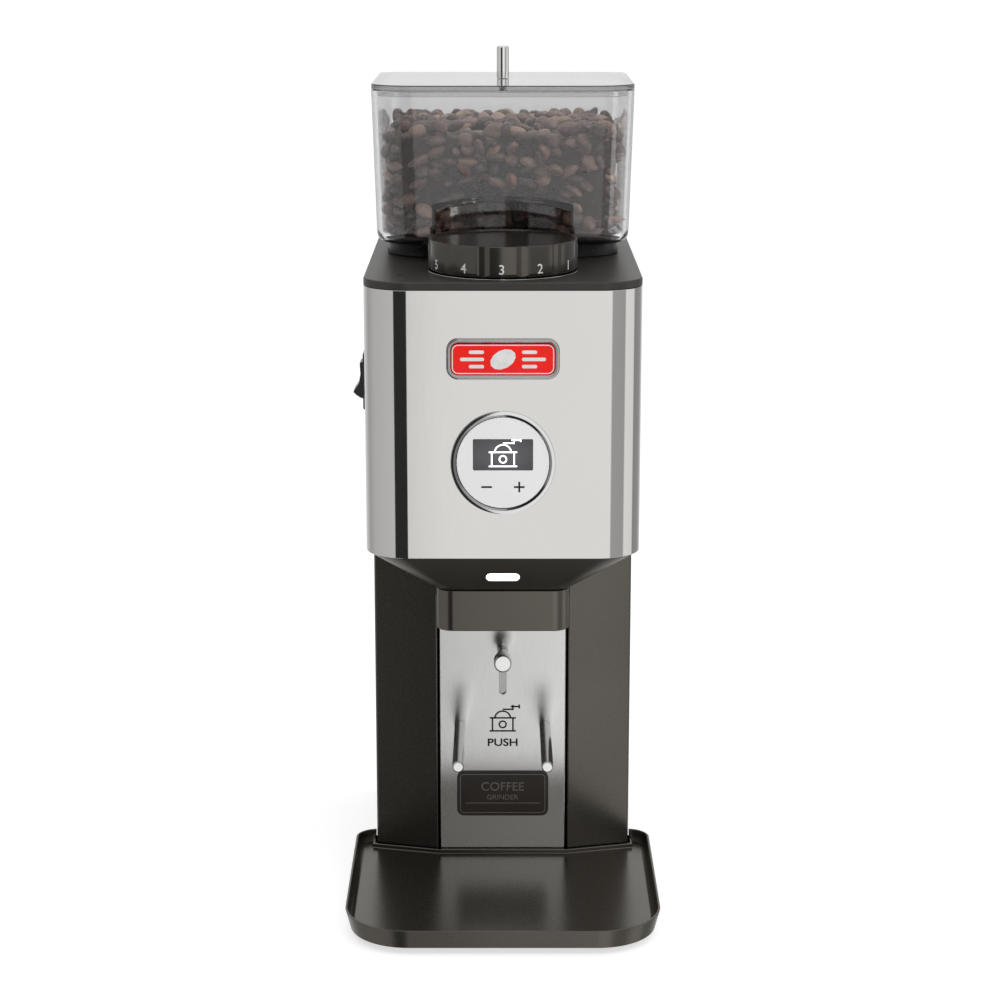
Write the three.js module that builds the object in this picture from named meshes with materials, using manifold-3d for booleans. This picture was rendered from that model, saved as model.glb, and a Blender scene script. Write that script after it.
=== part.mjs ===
// A burr coffee grinder with a portafilter fork, a bean hopper and a stepless grind dial.
// Millimetres, +Z up, the front faces -Y. Inside the grinder group, Y is measured back from
// the front edge of the ground tray and Z up from the table.
import * as THREE from 'three';
import { mergeVertices } from 'three/addons/utils/BufferGeometryUtils.js';
import Module from 'manifold-3d';

const wasm = await Module();
wasm.setup();

// ---------------------------------------------------------------- driving sizes
const overallDepth = 230;
const gap = 0.3; // between pieces that meet
const runningGap = 0.6; // between pieces that turn or slide past each other
const sheet = 1.6; // wall of the column, cover and plates

const footHeight = 3;
const footRadius = 8;
const footInset = 14; // from the base plate's edges
const basePlateThickness = 3;

const trayWidth = 150;
const trayDepth = 133.5;
const trayHeight = 9.6;
const trayLean = 2.5; // how far the wall flares outwards over its height
const trayWall = 1.3;
const trayUpstand = 2.2; // round the column, above the tray's floor
const trayFrontRadius = 31;
const trayRearRadius = 11;

const bodyWidth = 128.2; // column, casing and cap
const bodyTop = 306.7;
const bodyBottom = 181.5;
const casingFront = 36.5;
const casingWall = 1.2;
const casingRadius = 20.5;
const capThickness = 3.5;
const capSoftEdge = 0.8;

const columnFront = 113;
const columnCornerDepth = 8; // the angled faces run back this far
const openingWidth = 65.2; // in the column's front, for the push plate
const plateRecess = 7.5; // from the column's front to the wall behind the plate

const plateSideGap = 1.3;
const plateThickness = 1.5;
const plateTravel = 2.5;
const pinHeight = 74.8; // fork pins, above the table
const pinSpacing = 42.7;
const pinRadius = 2.85;
const pinLength = 62;
const hookTop = 115;
const hookLength = 25;
const hookRadius = 2.7;
const hookHeadRadius = 4.4;
const hookTravel = 20;
const slotWidth = 3.5;
const studRadius = 1.5; // threaded ends behind the plate
const nutRadius = 3.6;
const nutThickness = 2.2;
const guideRadius = 2.2; // two guide studs behind the plate
const nameplateWidth = 46.1;
const nameplateHeight = 23.7;
const nameplateBottom = 27.5;

const noseWidth = 62.8;
const noseFront = 54.1;
const noseTop = 161.4;
const noseBottom = 141.5;
const noseRadius = 8;
const noseWall = 2;
const lampWidth = 15.3;
const lampHeight = 4;
const lampZ = 170.2;

const dialRadius = 34.9;
const dialHeight = 15;
const dialFlutes = 12;
const spindleRadius = 4;

const burrRadius = 32;
const burrBore = 19;
const sweeperReach = 6; // past the burr's edge
const burrThickness = 7.4;
const throatRadius = 20;
const chamberWall = 6;
const chamberBottom = 246;
const ringGearClearance = 9.36; // from the gear's teeth to the casing's side
const ringGearTeeth = 48;
const pinionTeeth = 28; // the dial's axis stands where the two gears mesh
const ringGearZ = 290;
const gearThickness = 8;
const toothPlay = 0.35;

const motorRadius = 37;
const motorClearance = 0.9; // in front of the motor
const motorBottom = 128;
const motorTop = 240.4;
const motorShaftRadius = 4;
const bearingRadius = 11;
const bearingHeight = 6;

const hopperInset = 1.5; // the hopper's rim stands in from the body's sides
const hopperDraft = 2.3; // each side leans in by this much down to the floor
const hopperFromDial = 19.7; // its front wall stands behind the dial's axis
const hopperBack = 209;
const hopperBottom = 319;
const hopperTop = 391.2;
const hopperWall = 2.5;
const hopperRadius = 20; // front corners
const hopperRearRadius = 8;
const hopperFloorRadius = 4.5;
const pocketClearance = 2.6;
const pocketSide = 335.5; // height of the pocket's sides, then an arch
const pocketArch = 4.3;
const seatInset = 5.5;
const seatDialGap = 8.3; // from the dial's edge back to the seat
const seatCornerRadius = 26;
const neckRadius = 23;
const lidThickness = 2.5;
const lidPinRadius = 3;
const lidPinHeight = 15.7;
const beanLevel = 374;

const displayZ = 227;
const displayRadius = 24.1;
const displayFaceRadius = 21.3;
const screenWidth = 28.7;
const screenHeight = 14.7;
const screenRise = 3.8; // the screen's centre above the display's centre
const badgeZ = 275.3;
const badgeWidth = 51.6;
const badgeHeight = 18.65;
const badgeRim = 2.2;
const rockerY = 88;
const rockerZ = 257;
const rockerWidth = 20;
const rockerHeight = 27;
const rockerPivot = 0.5; // inside the body's side
const rockerOut = THREE.MathUtils.degToRad(37); // the raised end, up from level
const rockerIn = THREE.MathUtils.degToRad(63); // the pressed end
const inletZ = 44;
const inletWidth = 30;
const inletHeight = 23;

// ---------------------------------------------------------------- sizes that follow
const basePlateTop = footHeight + basePlateThickness;
const trayTop = footHeight + trayHeight;
const trayFloor = basePlateTop + gap + trayWall;
const columnBottom = basePlateTop + gap;
const columnTop = bodyBottom - gap;
const coverFront = overallDepth - 2 * sheet - runningGap; // outer face of the column's back
const casingTop = bodyTop - gap;
const capTop = bodyTop + capThickness;
const recessWall = columnFront + plateRecess;
const burrY = recessWall + sheet + motorClearance + motorRadius; // axis of motor, burrs and throat
const plateWidth = openingWidth - 2 * plateSideGap;
const plateBack = columnFront + plateThickness;
const plateBottom = trayFloor + gap;
const plateTop = noseBottom - runningGap;
const ringOuter = bodyWidth / 2 - ringGearClearance;
const gearModule = (2 * ringOuter) / (ringGearTeeth + 2);
const ringPitch = (gearModule * ringGearTeeth) / 2;
const pinionPitch = (gearModule * pinionTeeth) / 2;
const dialAxisY = burrY - ringPitch - pinionPitch; // where the gears mesh exactly
const hopperFront = dialAxisY + hopperFromDial;
const hopperHalf = bodyWidth / 2 - hopperInset;
const dialBottom = capTop + gap;
const seatTop = hopperBottom - gap;
const seatFront = dialAxisY + dialRadius + seatDialGap;
const chamberInner = burrRadius + sweeperReach + 2;
const chamberRadius = chamberInner + chamberWall;
const chamberFloor = chamberBottom + 3.4;
const carrierTop = ringGearZ + gearThickness;
const lowerCarrierBottom = chamberFloor + runningGap;
const lowerCarrierTop = lowerCarrierBottom + 8;
const lowerBurrBottom = lowerCarrierTop + gap;
const upperBurrBottom = lowerBurrBottom + burrThickness + runningGap;
const upperBurrTop = upperBurrBottom + burrThickness;
const carrierRadius = burrRadius + 4;

// ---------------------------------------------------------------- solids
function solidOf(geometry) {
  const loose = geometry.index ? geometry.toNonIndexed() : geometry;
  const bare = new THREE.BufferGeometry().setAttribute('position', loose.getAttribute('position'));
  const merged = mergeVertices(bare, 1e-4);
  return new wasm.Manifold(
    new wasm.Mesh({
      numProp: 3,
      vertProperties: merged.getAttribute('position').array,
      triVerts: new Uint32Array(merged.index.array),
    }),
  );
}

function geometryOf(solid) {
  const mesh = solid.getMesh();
  return new THREE.BufferGeometry()
    .setAttribute('position', new THREE.BufferAttribute(mesh.vertProperties, 3))
    .setIndex(new THREE.BufferAttribute(mesh.triVerts, 1));
}

function cut(geometry, ...tools) {
  return geometryOf(tools.reduce((solid, tool) => solid.subtract(solidOf(tool)), solidOf(geometry)));
}

function join(geometry, ...others) {
  return geometryOf(others.reduce((solid, other) => solid.add(solidOf(other)), solidOf(geometry)));
}

function common(geometry, other) {
  return geometryOf(solidOf(geometry).intersect(solidOf(other)));
}

// A closed outline through [x, y, radius] corners, as points.
function outline(corners, arcSteps = 6) {
  const points = [];
  corners.forEach(([x, y, radius = 0], i) => {
    const corner = new THREE.Vector2(x, y);
    if (radius <= 0) {
      points.push(corner);
      return;
    }
    const [beforeX, beforeY] = corners.at(i - 1);
    const [afterX, afterY] = corners[(i + 1) % corners.length];
    const back = new THREE.Vector2(beforeX - x, beforeY - y).normalize();
    const on = new THREE.Vector2(afterX - x, afterY - y).normalize();
    const half = Math.acos(back.dot(on)) / 2;
    const centre = corner.clone().addScaledVector(back.clone().add(on).normalize(), radius / Math.sin(half));
    const reach = radius / Math.tan(half);
    const start = corner.clone().addScaledVector(back, reach).sub(centre).angle();
    const end = corner.clone().addScaledVector(on, reach).sub(centre).angle();
    const arc = new THREE.EllipseCurve(centre.x, centre.y, radius, radius, start, end, back.cross(on) > 0);
    points.push(...arc.getPoints(arcSteps));
  });
  return points;
}

function rectangle(left, right, front, back, radius = 0, arcSteps = 6) {
  return outline(
    [[left, front, radius], [right, front, radius], [right, back, radius], [left, back, radius]], arcSteps,
  );
}

function circle(radius, x = 0, y = 0, steps = 32) {
  return new THREE.EllipseCurve(x, y, radius, radius).getPoints(steps).slice(0, -1);
}

// A flat outline raised from one height to another.
function prism(points, low, high) {
  const shape = new THREE.Shape(points);
  return new THREE.ExtrudeGeometry(shape, { depth: high - low, bevelEnabled: false }).translate(0, 0, low);
}

// An outline drawn in X and Z, run back from one Y to another.
function prismBack(points, front, back) {
  return prism(points, -back, -front).rotateX(Math.PI / 2);
}

// An outline drawn in Y and Z, run across from one X to another.
function prismAcross(points, left, right) {
  return prism(points, left, right).rotateY(Math.PI / 2).rotateX(Math.PI / 2);
}

// A solid skinned over flat outlines of equally many points, lowest first: [[points, z], ...].
function loft(layers) {
  const count = layers[0][0].length;
  const positions = layers.flatMap(([points, z]) => points.flatMap((p) => [p.x, p.y, z]));
  const faces = [];
  for (let layer = 0; layer + 1 < layers.length; layer++) {
    for (let i = 0; i < count; i++) {
      const low = layer * count + i;
      const lowNext = layer * count + ((i + 1) % count);
      faces.push(low, lowNext, lowNext + count, low, lowNext + count, low + count);
    }
  }
  const top = (layers.length - 1) * count;
  THREE.ShapeUtils.triangulateShape(layers[0][0], []).forEach(([a, b, c]) => faces.push(c, b, a));
  THREE.ShapeUtils.triangulateShape(layers.at(-1)[0], []).forEach(([a, b, c]) => {
    faces.push(top + a, top + b, top + c);
  });
  return new THREE.BufferGeometry()
    .setAttribute('position', new THREE.Float32BufferAttribute(positions, 3))
    .setIndex(faces);
}

// A turned piece about the Z axis from [radius, z] corners.
function turned(corners, steps = 32) {
  const points = corners.map(([radius, z]) => new THREE.Vector2(radius, z));
  const first = points[0];
  const last = points.at(-1);
  const closed = first.x > 0 || last.x > 0;
  if (closed) points.push(first.clone());
  if (THREE.ShapeUtils.area(points) < 0) points.reverse();
  return new THREE.LatheGeometry(points, steps).rotateX(Math.PI / 2);
}

function ring(inner, outer, low, high, steps = 32) {
  return turned([[inner, low], [outer, low], [outer, high], [inner, high]], steps);
}

function rod(radius, low, high, steps = 24) {
  return new THREE.CylinderGeometry(radius, radius, high - low, steps)
    .rotateX(Math.PI / 2)
    .translate(0, 0, (low + high) / 2);
}

// A rod along Y at a given X and Z.
function rodBack(radius, x, z, front, back, steps = 24) {
  return rod(radius, -back, -front, steps).rotateX(Math.PI / 2).translate(x, 0, z);
}

function box(left, right, front, back, low, high) {
  return new THREE.BoxGeometry(right - left, back - front, high - low)
    .translate((left + right) / 2, (front + back) / 2, (low + high) / 2);
}

// An involute spur gear's outline, with the middle of one tooth at the given angle.
function gearOutline(teeth, pitch, toothAngle) {
  const pressure = THREE.MathUtils.degToRad(20);
  const base = pitch * Math.cos(pressure);
  const involute = (angle) => Math.tan(angle) - angle;
  const halfTooth = (radius) => {
    const slope = radius > base ? Math.acos(base / radius) : 0;
    return Math.PI / (2 * teeth) - toothPlay / (2 * pitch) + involute(pressure) - involute(slope);
  };
  const root = pitch - 1.25 * gearModule;
  const tip = pitch + gearModule;
  const points = [];
  for (let tooth = 0; tooth < teeth; tooth++) {
    const middle = toothAngle + (2 * Math.PI * tooth) / teeth;
    for (const [side, radius] of [[-1, root], [-1, tip], [1, tip], [1, root]]) {
      const angle = middle + side * halfTooth(radius);
      points.push(new THREE.Vector2(radius * Math.cos(angle), radius * Math.sin(angle)));
    }
  }
  return points;
}

// ---------------------------------------------------------------- materials
const finish = {
  darkPaint: new THREE.MeshStandardMaterial({ color: 0x3a3733, roughness: 0.42, metalness: 0.3 }),
  darkPlastic: new THREE.MeshStandardMaterial({ color: 0x2f2c29, roughness: 0.45, metalness: 0 }),
  blackPlastic: new THREE.MeshStandardMaterial({ color: 0x141414, roughness: 0.4, metalness: 0 }),
  polishedSteel: new THREE.MeshStandardMaterial({ color: 0xd8d6d2, roughness: 0.12, metalness: 1 }),
  chrome: new THREE.MeshStandardMaterial({ color: 0xe6e6e6, roughness: 0.06, metalness: 1 }),
  steel: new THREE.MeshStandardMaterial({ color: 0x9a9a98, roughness: 0.35, metalness: 1 }),
  castAluminium: new THREE.MeshStandardMaterial({ color: 0xa9abad, roughness: 0.5, metalness: 1 }),
  brass: new THREE.MeshStandardMaterial({ color: 0xb08d4a, roughness: 0.3, metalness: 1 }),
  copper: new THREE.MeshStandardMaterial({ color: 0x9a5a34, roughness: 0.4, metalness: 0.8 }),
  rubber: new THREE.MeshStandardMaterial({ color: 0x1a1a1a, roughness: 0.9, metalness: 0 }),
  smoked: new THREE.MeshStandardMaterial({
    color: 0x8c8c8c, roughness: 0.08, transparent: true, opacity: 0.4,
  }),
  beans: new THREE.MeshStandardMaterial({ color: 0x3c2a22, roughness: 0.5, metalness: 0 }),
  paleFace: new THREE.MeshStandardMaterial({ color: 0xdededc, roughness: 0.3, metalness: 0 }),
  screen: new THREE.MeshStandardMaterial({ color: 0x5a5a5a, roughness: 0.2, metalness: 0 }),
  red: new THREE.MeshStandardMaterial({ color: 0xe82c24, roughness: 0.3, metalness: 0 }),
  lamp: new THREE.MeshStandardMaterial({ color: 0xffffff, roughness: 0.3, emissive: 0xffffff }),
  board: new THREE.MeshStandardMaterial({ color: 0x1d5a34, roughness: 0.6, metalness: 0 }),
};

const grinder = new THREE.Group();
grinder.position.y = -overallDepth / 2;

function add(name, geometry, material, x = 0, y = 0, z = 0) {
  const mesh = new THREE.Mesh(geometry, material);
  mesh.name = name;
  mesh.position.set(x, y, z);
  grinder.add(mesh);
}

// ---------------------------------------------------------------- plan outlines
// The column seen from above, grown outwards by a margin; its back runs on past the column.
function columnPlan(margin) {
  const half = bodyWidth / 2 + margin;
  const inner = openingWidth / 2;
  const slope = columnCornerDepth / (bodyWidth / 2 - inner);
  const front = columnFront - margin * Math.hypot(1, slope);
  const corner = front + (half - inner) * slope;
  return outline(
    [
      [-inner, front], [inner, front], [half, corner],
      [half, overallDepth * 2], [-half, overallDepth * 2], [-half, corner],
    ],
  );
}

// The body seen from above, shrunk by a margin.
function bodyPlan(margin, arcSteps = 6) {
  const half = bodyWidth / 2 - margin;
  const front = casingFront + margin;
  const back = coverFront - margin;
  const radius = casingRadius - margin;
  return outline([[-half, front, radius], [half, front, radius], [half, back], [-half, back]], arcSteps);
}

// Column and casing both fold in at the back, round one wide window, and take the cover's screws.
const rearFold = 11;
const rearScrews = [[-1, 16], [1, 16], [-1, bodyTop - 14], [1, bodyTop - 14]];
const rearScrewX = bodyWidth / 2 - 6;

function rearWindow() {
  const half = bodyWidth / 2 - rearFold;
  return box(-half, half, burrY, overallDepth * 2, 0, bodyTop * 2);
}

function rearScrewHoles() {
  return rearScrews.map(([side, z]) => rodBack(1.8, side * rearScrewX, z, burrY, overallDepth, 12));
}

// ---------------------------------------------------------------- base and tray
const basePlateHalf = bodyWidth / 2 - 6;
const basePlateFront = 12;
const basePlateBack = coverFront - 2;

function buildBase() {
  const plan = rectangle(-basePlateHalf, basePlateHalf, basePlateFront, basePlateBack, 12);
  add('base_plate', prism(plan, footHeight, basePlateTop), finish.steel);
  const footZ = footHeight - gap;
  const foot = () => turned([[0, 0], [footRadius, 0], [footRadius - 1, footZ], [0, footZ]], 24);
  const footX = basePlateHalf - footInset;
  for (const [side, x] of [['left', -footX], ['right', footX]]) {
    add(`foot_front_${side}`, foot(), finish.rubber, x, basePlateFront + footInset);
    add(`foot_rear_${side}`, foot(), finish.rubber, x, basePlateBack - footInset);
  }
}

function trayPlan(inset) {
  const half = trayWidth / 2 - inset;
  const front = trayFrontRadius - inset;
  const rear = trayRearRadius - inset;
  return outline([
    [-half, inset, front], [half, inset, front],
    [half, trayDepth - inset, rear], [-half, trayDepth - inset, rear],
  ], 8);
}

function buildTray() {
  const lean = (z) => (trayLean * (trayTop - z)) / trayHeight;
  const inside = (z, extra = 0) => [trayPlan(lean(z) + trayWall + extra), z];
  const outer = loft([[trayPlan(trayLean), footHeight], [trayPlan(0), trayTop]]);
  const upstand = prism(columnPlan(gap + runningGap + trayWall), 0, trayFloor + trayUpstand);
  const dish = cut(
    loft([
      inside(trayFloor, 1.6), inside(trayFloor + 0.6, 0.5), inside(trayFloor + 1.8), inside(trayTop + 1),
    ]),
    upstand,
  );
  const underside = loft([inside(footHeight - 1), inside(trayFloor - trayWall)]);
  add(
    'ground_tray', cut(outer, dish, underside, prism(columnPlan(gap + runningGap), 0, trayTop + 1)),
    finish.darkPaint,
  );
}

// ---------------------------------------------------------------- column, push plate and fork
const guideHeights = [40, hookTop + 7.5];

function buildColumn() {
  const half = bodyWidth / 2;
  const opening = openingWidth / 2;
  const slope = columnCornerDepth / (half - opening);
  const inner = half - sheet;
  const lip = opening + sheet;
  const innerFront = (x) => columnFront + (x - opening) * slope + sheet * Math.hypot(1, slope);
  const outside = outline([
    [-half, coverFront], [-half, columnFront + columnCornerDepth], [-opening, columnFront],
    [-opening, recessWall],
    [opening, recessWall], [opening, columnFront], [half, columnFront + columnCornerDepth],
    [half, coverFront],
  ]);
  const inside = outline([
    [-inner, coverFront - sheet], [-inner, innerFront(inner)], [-lip, innerFront(lip)],
    [-lip, recessWall + sheet],
    [lip, recessWall + sheet], [lip, innerFront(lip)], [inner, innerFront(inner)],
    [inner, coverFront - sheet],
  ]);
  const guideHoles = guideHeights.map(
    (z) => rodBack(guideRadius + runningGap, 0, z, recessWall - 1, recessWall + sheet + 1),
  );
  const shell = cut(
    prism(outside, columnBottom, columnTop), prism(inside, 0, bodyTop), rearWindow(), ...guideHoles,
    ...rearScrewHoles(),
  );
  add('column_shell', shell, finish.darkPaint);
}

const plateHalf = plateWidth / 2;
const slotBottom = hookTop - hookTravel - slotWidth;
const slotTop = hookTop + slotWidth / 2;

function buildPushPlate() {
  const sheetPlan = rectangle(-plateHalf, plateHalf, plateBottom, plateTop, 0.8, 2);
  const slot = rectangle(-slotWidth / 2, slotWidth / 2, slotBottom, slotTop, slotWidth / 2 - 0.01, 5);
  const pinHoles = [-1, 1].map(
    (side) => rodBack(
      studRadius + gap, (side * pinSpacing) / 2, pinHeight, columnFront - 1, plateBack + 1, 16,
    ),
  );
  const guideEnd = recessWall + sheet + 2;
  const guides = guideHeights.map((z) => rodBack(guideRadius, 0, z, plateBack - 0.5, guideEnd, 16));
  const plate = cut(
    prismBack(sheetPlan, columnFront, plateBack), prismBack(slot, columnFront - 1, plateBack + 1),
    ...pinHoles,
  );
  add('push_plate', join(plate, ...guides), finish.polishedSteel);

  const plateName = rectangle(
    -nameplateWidth / 2, nameplateWidth / 2, nameplateBottom, nameplateBottom + nameplateHeight, 4, 5,
  );
  add(
    'nameplate', prismBack(plateName, columnFront - gap / 3 - 0.8, columnFront - gap / 3),
    finish.blackPlastic,
  );
}

function nut() {
  const flats = circle(nutRadius, 0, 0, 6);
  return cut(
    prism(flats, 0, nutThickness), rod(studRadius + gap / 2, -1, nutThickness + 1, 16),
  ).rotateX(Math.PI / 2);
}

function buildForkAndHook() {
  const studEnd = plateBack + gap + nutThickness + 0.4;
  const pin = turned([
    [0, 0], [pinRadius - 0.4, 0], [pinRadius, 0.4], [pinRadius, pinLength - gap],
    [studRadius, pinLength - gap],
    [studRadius, pinLength + studEnd - columnFront], [0, pinLength + studEnd - columnFront],
  ], 24).rotateX(-Math.PI / 2);
  for (const [side, x] of [['left', -pinSpacing / 2], ['right', pinSpacing / 2]]) {
    add(`fork_pin_${side}`, pin.clone(), finish.chrome, x, columnFront - pinLength, pinHeight);
    add(`fork_nut_${side}`, nut(), finish.steel, x, plateBack + gap + nutThickness, pinHeight);
  }
  const cone = hookLength * 0.35;
  const head = hookLength * 0.28;
  const groove = (at) => [
    [hookRadius, at], [hookRadius - 0.7, at + 0.3], [hookRadius - 0.7, at + 1.2], [hookRadius, at + 1.5],
  ];
  const peg = turned([
    [0, 0], [hookHeadRadius - 0.6, 0], [hookHeadRadius, 0.6], [hookHeadRadius, head],
    [hookRadius, head + cone],
    ...groove(head + cone + 1.5), ...groove(head + cone + 4.5), [hookRadius, hookLength - gap],
    [studRadius, hookLength - gap],
    [studRadius, hookLength + studEnd - columnFront], [0, hookLength + studEnd - columnFront],
  ], 16).rotateX(-Math.PI / 2);
  add('hook_peg', peg, finish.chrome, 0, columnFront - hookLength, hookTop);
  add('hook_nut', nut(), finish.steel, 0, plateBack + gap + nutThickness, hookTop);
}

// The coil sits round the upper guide stud, between the plate and the wall behind it.
function buildPlateSpring() {
  const turns = 2.5;
  const wire = 0.45;
  const coil = guideRadius + runningGap + 1;
  const start = plateBack + wire + gap;
  const end = recessWall - wire - gap;
  const steps = 36;
  const path = Array.from({ length: steps + 1 }, (_, i) => {
    const angle = (2 * Math.PI * turns * i) / steps;
    return new THREE.Vector3(
      coil * Math.cos(angle), start + ((end - start) * i) / steps, coil * Math.sin(angle),
    );
  });
  const section = new THREE.Shape(circle(wire, 0, 0, 6));
  const coilShape = new THREE.ExtrudeGeometry(
    section, { steps, bevelEnabled: false, extrudePath: new THREE.CatmullRomCurve3(path) },
  );
  add('plate_spring', coilShape, finish.steel, 0, 0, guideHeights[1]);
}

function buildMicroswitch() {
  const front = recessWall + sheet + 2 + plateTravel + gap;
  const body = box(-10, 10, front, front + 6.5, guideHeights[0] - 5, guideHeights[0] + 5);
  const ears = box(-14, 14, front + 2, front + 5, guideHeights[0] - 3, guideHeights[0] + 3);
  add('plate_microswitch', join(body, ears), finish.blackPlastic);
}

// ---------------------------------------------------------------- nose, chin and chute
const chutePath = [[0, burrY - chamberRadius + 2, 257.5], [0, burrY - chamberRadius - 12, 253], [0, 88, 234],
  [0, 80, 205], [0, 79, 175], [0, 79, noseBottom + 3.5]];
const chuteRadius = 11;

function nosePlan(inset) {
  const half = noseWidth / 2 - inset;
  const radius = noseRadius - inset;
  const back = columnFront - gap;
  return outline(
    [[-half, noseFront + inset, radius], [half, noseFront + inset, radius], [half, back], [-half, back]], 8,
  );
}

function buildNose() {
  const shell = cut(
    prism(nosePlan(0), noseBottom, noseTop),
    common(
      prism(nosePlan(noseWall), noseBottom + noseWall, bodyTop),
      box(-plateHalf, plateHalf, 0, overallDepth, 0, bodyTop),
    ),
    rod(chuteRadius + runningGap, 0, bodyTop).translate(0, chutePath.at(-1)[1], 0),
  );
  add('nose_cover', shell, finish.darkPaint);
}

// The chin narrows from the body's plan down to the nose's plan.
function chinPlan(rise, inset) {
  const reach = Math.pow(rise, 0.8);
  const half = THREE.MathUtils.lerp(noseWidth / 2, bodyWidth / 2 - 0.8, rise) - inset;
  const front = THREE.MathUtils.lerp(noseFront, casingFront + 0.8, reach) + inset;
  const radius = THREE.MathUtils.lerp(noseRadius, casingRadius - 0.8, reach) - inset;
  const back = columnFront + columnCornerDepth + 2;
  return outline([[-half, front, radius], [half, front, radius], [half, back], [-half, back]], 6);
}

function buildChin() {
  const bottom = noseTop + gap;
  const top = bodyBottom - gap;
  const layers = 5;
  const rings = (inset, raise) => Array.from({ length: layers + 1 }, (_, i) => {
    return [chinPlan(i / layers, inset), THREE.MathUtils.lerp(bottom, top, i / layers) + raise];
  });
  const wall = 2;
  const hollow = rings(wall, wall);
  hollow.push([chinPlan(1, wall), bodyTop]);
  const lamp = (grow) => rectangle(-lampWidth / 2 - grow, lampWidth / 2 + grow, lampZ - lampHeight / 2 - grow,
    lampZ + lampHeight / 2 + grow, lampHeight / 2 + grow - 0.01, 6);
  const shell = cut(
    loft(rings(0, 0)),
    loft(hollow),
    prism(columnPlan(gap), 0, bodyTop),
    rod(chuteRadius + 6, 0, bodyTop).translate(0, chutePath.at(-1)[1], 0),
    prismBack(lamp(gap), 0, 60),
  );
  add('chin_fascia', shell, finish.darkPlastic);
  const lens = common(prismBack(lamp(0), 0, noseFront + 2), loft(rings(0, 0)));
  add(
    'status_lens', cut(lens, box(-lampWidth, lampWidth, noseFront - 4, noseFront + 9, 0, bodyTop)),
    finish.lamp,
  );
}

function buildChute() {
  const path = new THREE.CatmullRomCurve3(chutePath.map(([x, y, z]) => new THREE.Vector3(x, y, z)));
  const section = new THREE.Shape(circle(chuteRadius, 0, 0, 12));
  section.holes.push(new THREE.Path(circle(chuteRadius - sheet, 0, 0, 12).reverse()));
  const duct = new THREE.ExtrudeGeometry(section, { steps: 9, bevelEnabled: false, extrudePath: path });
  add('chute', cut(duct, rod(chamberRadius + gap, 0, bodyTop, 40).translate(0, burrY, 0)), finish.steel);
}

// ---------------------------------------------------------------- casing, cap and rear cover
function buildCasing() {
  const low = bodyBottom;
  const shell = cut(
    prism(bodyPlan(0, 10), low, casingTop),
    prism(bodyPlan(casingWall, 10), 0, bodyTop + 10),
    rearWindow(),
    ...rearScrewHoles(),
    rodBack(displayFaceRadius + 1.2, 0, displayZ, 0, casingFront + 5, 40),
    box(-bodyWidth, -bodyWidth / 2 + 5, rockerY - rockerWidth / 2 + 2, rockerY + rockerWidth / 2 - 2,
      rockerZ - rockerHeight / 2 + 2, rockerZ + rockerHeight / 2 - 2),
  );
  add('body_casing', shell, finish.polishedSteel);
}

function buildCap() {
  const skirt = casingWall + gap;
  const blank = loft([
    [bodyPlan(skirt), bodyTop - 4], [bodyPlan(skirt), bodyTop], [bodyPlan(0), bodyTop],
    [bodyPlan(0), capTop - capSoftEdge], [bodyPlan(capSoftEdge * 0.3), capTop - capSoftEdge * 0.3],
    [bodyPlan(capSoftEdge), capTop],
  ]);
  const cap = cut(
    blank,
    prism(bodyPlan(skirt + 2), 0, capTop - 2.5),
    rod(spindleRadius + 1.5, 0, capTop + 5).translate(0, dialAxisY, 0),
    rod(neckRadius + hopperWall + 1, 0, capTop + 5, 40).translate(0, burrY, 0),
    rod(1.8, capTop - 1.4, capTop + 5, 16).translate(17 - bodyWidth / 2, casingFront + 25, 0),
  );
  add('top_cap', cap, finish.darkPlastic);
}

function buildRearCover() {
  const front = coverFront + gap;
  const back = front + sheet + 0.2;
  const half = bodyWidth / 2 - 1;
  const panel = prismBack(rectangle(-half, half, columnBottom, casingTop, 6, 5), front, back);
  const slots = [];
  for (let row = 0; row < 6; row++) {
    const z = 205 + row * 9;
    slots.push(prismBack(rectangle(-28, 28, z, z + 3.5, 1.7, 2), front - 1, back + 1));
  }
  const socket = prismBack(
    rectangle(-inletWidth / 2, inletWidth / 2, inletZ - inletHeight / 2, inletZ + inletHeight / 2, 3, 3),
    front - 1, back + 1,
  );
  add('rear_cover', cut(panel, ...slots, socket, ...rearScrewHoles()), finish.darkPaint);
  rearScrews.forEach(([side, z], i) => {
    const screw = turned(
      [[0, -7], [1.5, -7], [1.5, 0], [3, 0], [2.8, 1], [0, 1.3]], 16,
    ).rotateX(-Math.PI / 2);
    add(`rear_screw_${i + 1}`, screw, finish.steel, side * rearScrewX, back + gap, z);
  });
}

// ---------------------------------------------------------------- power inlet, switch and boards
function buildInlet() {
  const face = coverFront + gap + sheet + 0.2 + gap / 3;
  const flange = rectangle(
    -inletWidth / 2 - 4, inletWidth / 2 + 4, inletZ - inletHeight / 2 - 3, inletZ + inletHeight / 2 + 3, 3,
    3,
  );
  const half = inletWidth / 2 - gap;
  const rise = inletHeight / 2 - gap;
  const shell = prismBack(rectangle(-half, half, inletZ - rise, inletZ + rise, 3, 3), face - 18, face);
  const well = prismBack(
    rectangle(-half + 2.5, half - 2.5, inletZ - rise + 2.5, inletZ + rise - 2.5, 2, 3), face - 15, face + 5,
  );
  const blades = [[-7, -1.5], [7, -1.5], [0, 3]].map(
    ([x, z]) => box(x - 1, x + 1, face - 16, face - 6, inletZ + z - 2, inletZ + z + 2),
  );
  const body = cut(join(prismBack(flange, face, overallDepth), shell), well);
  add('mains_inlet', join(body, ...blades), finish.blackPlastic);
}

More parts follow.
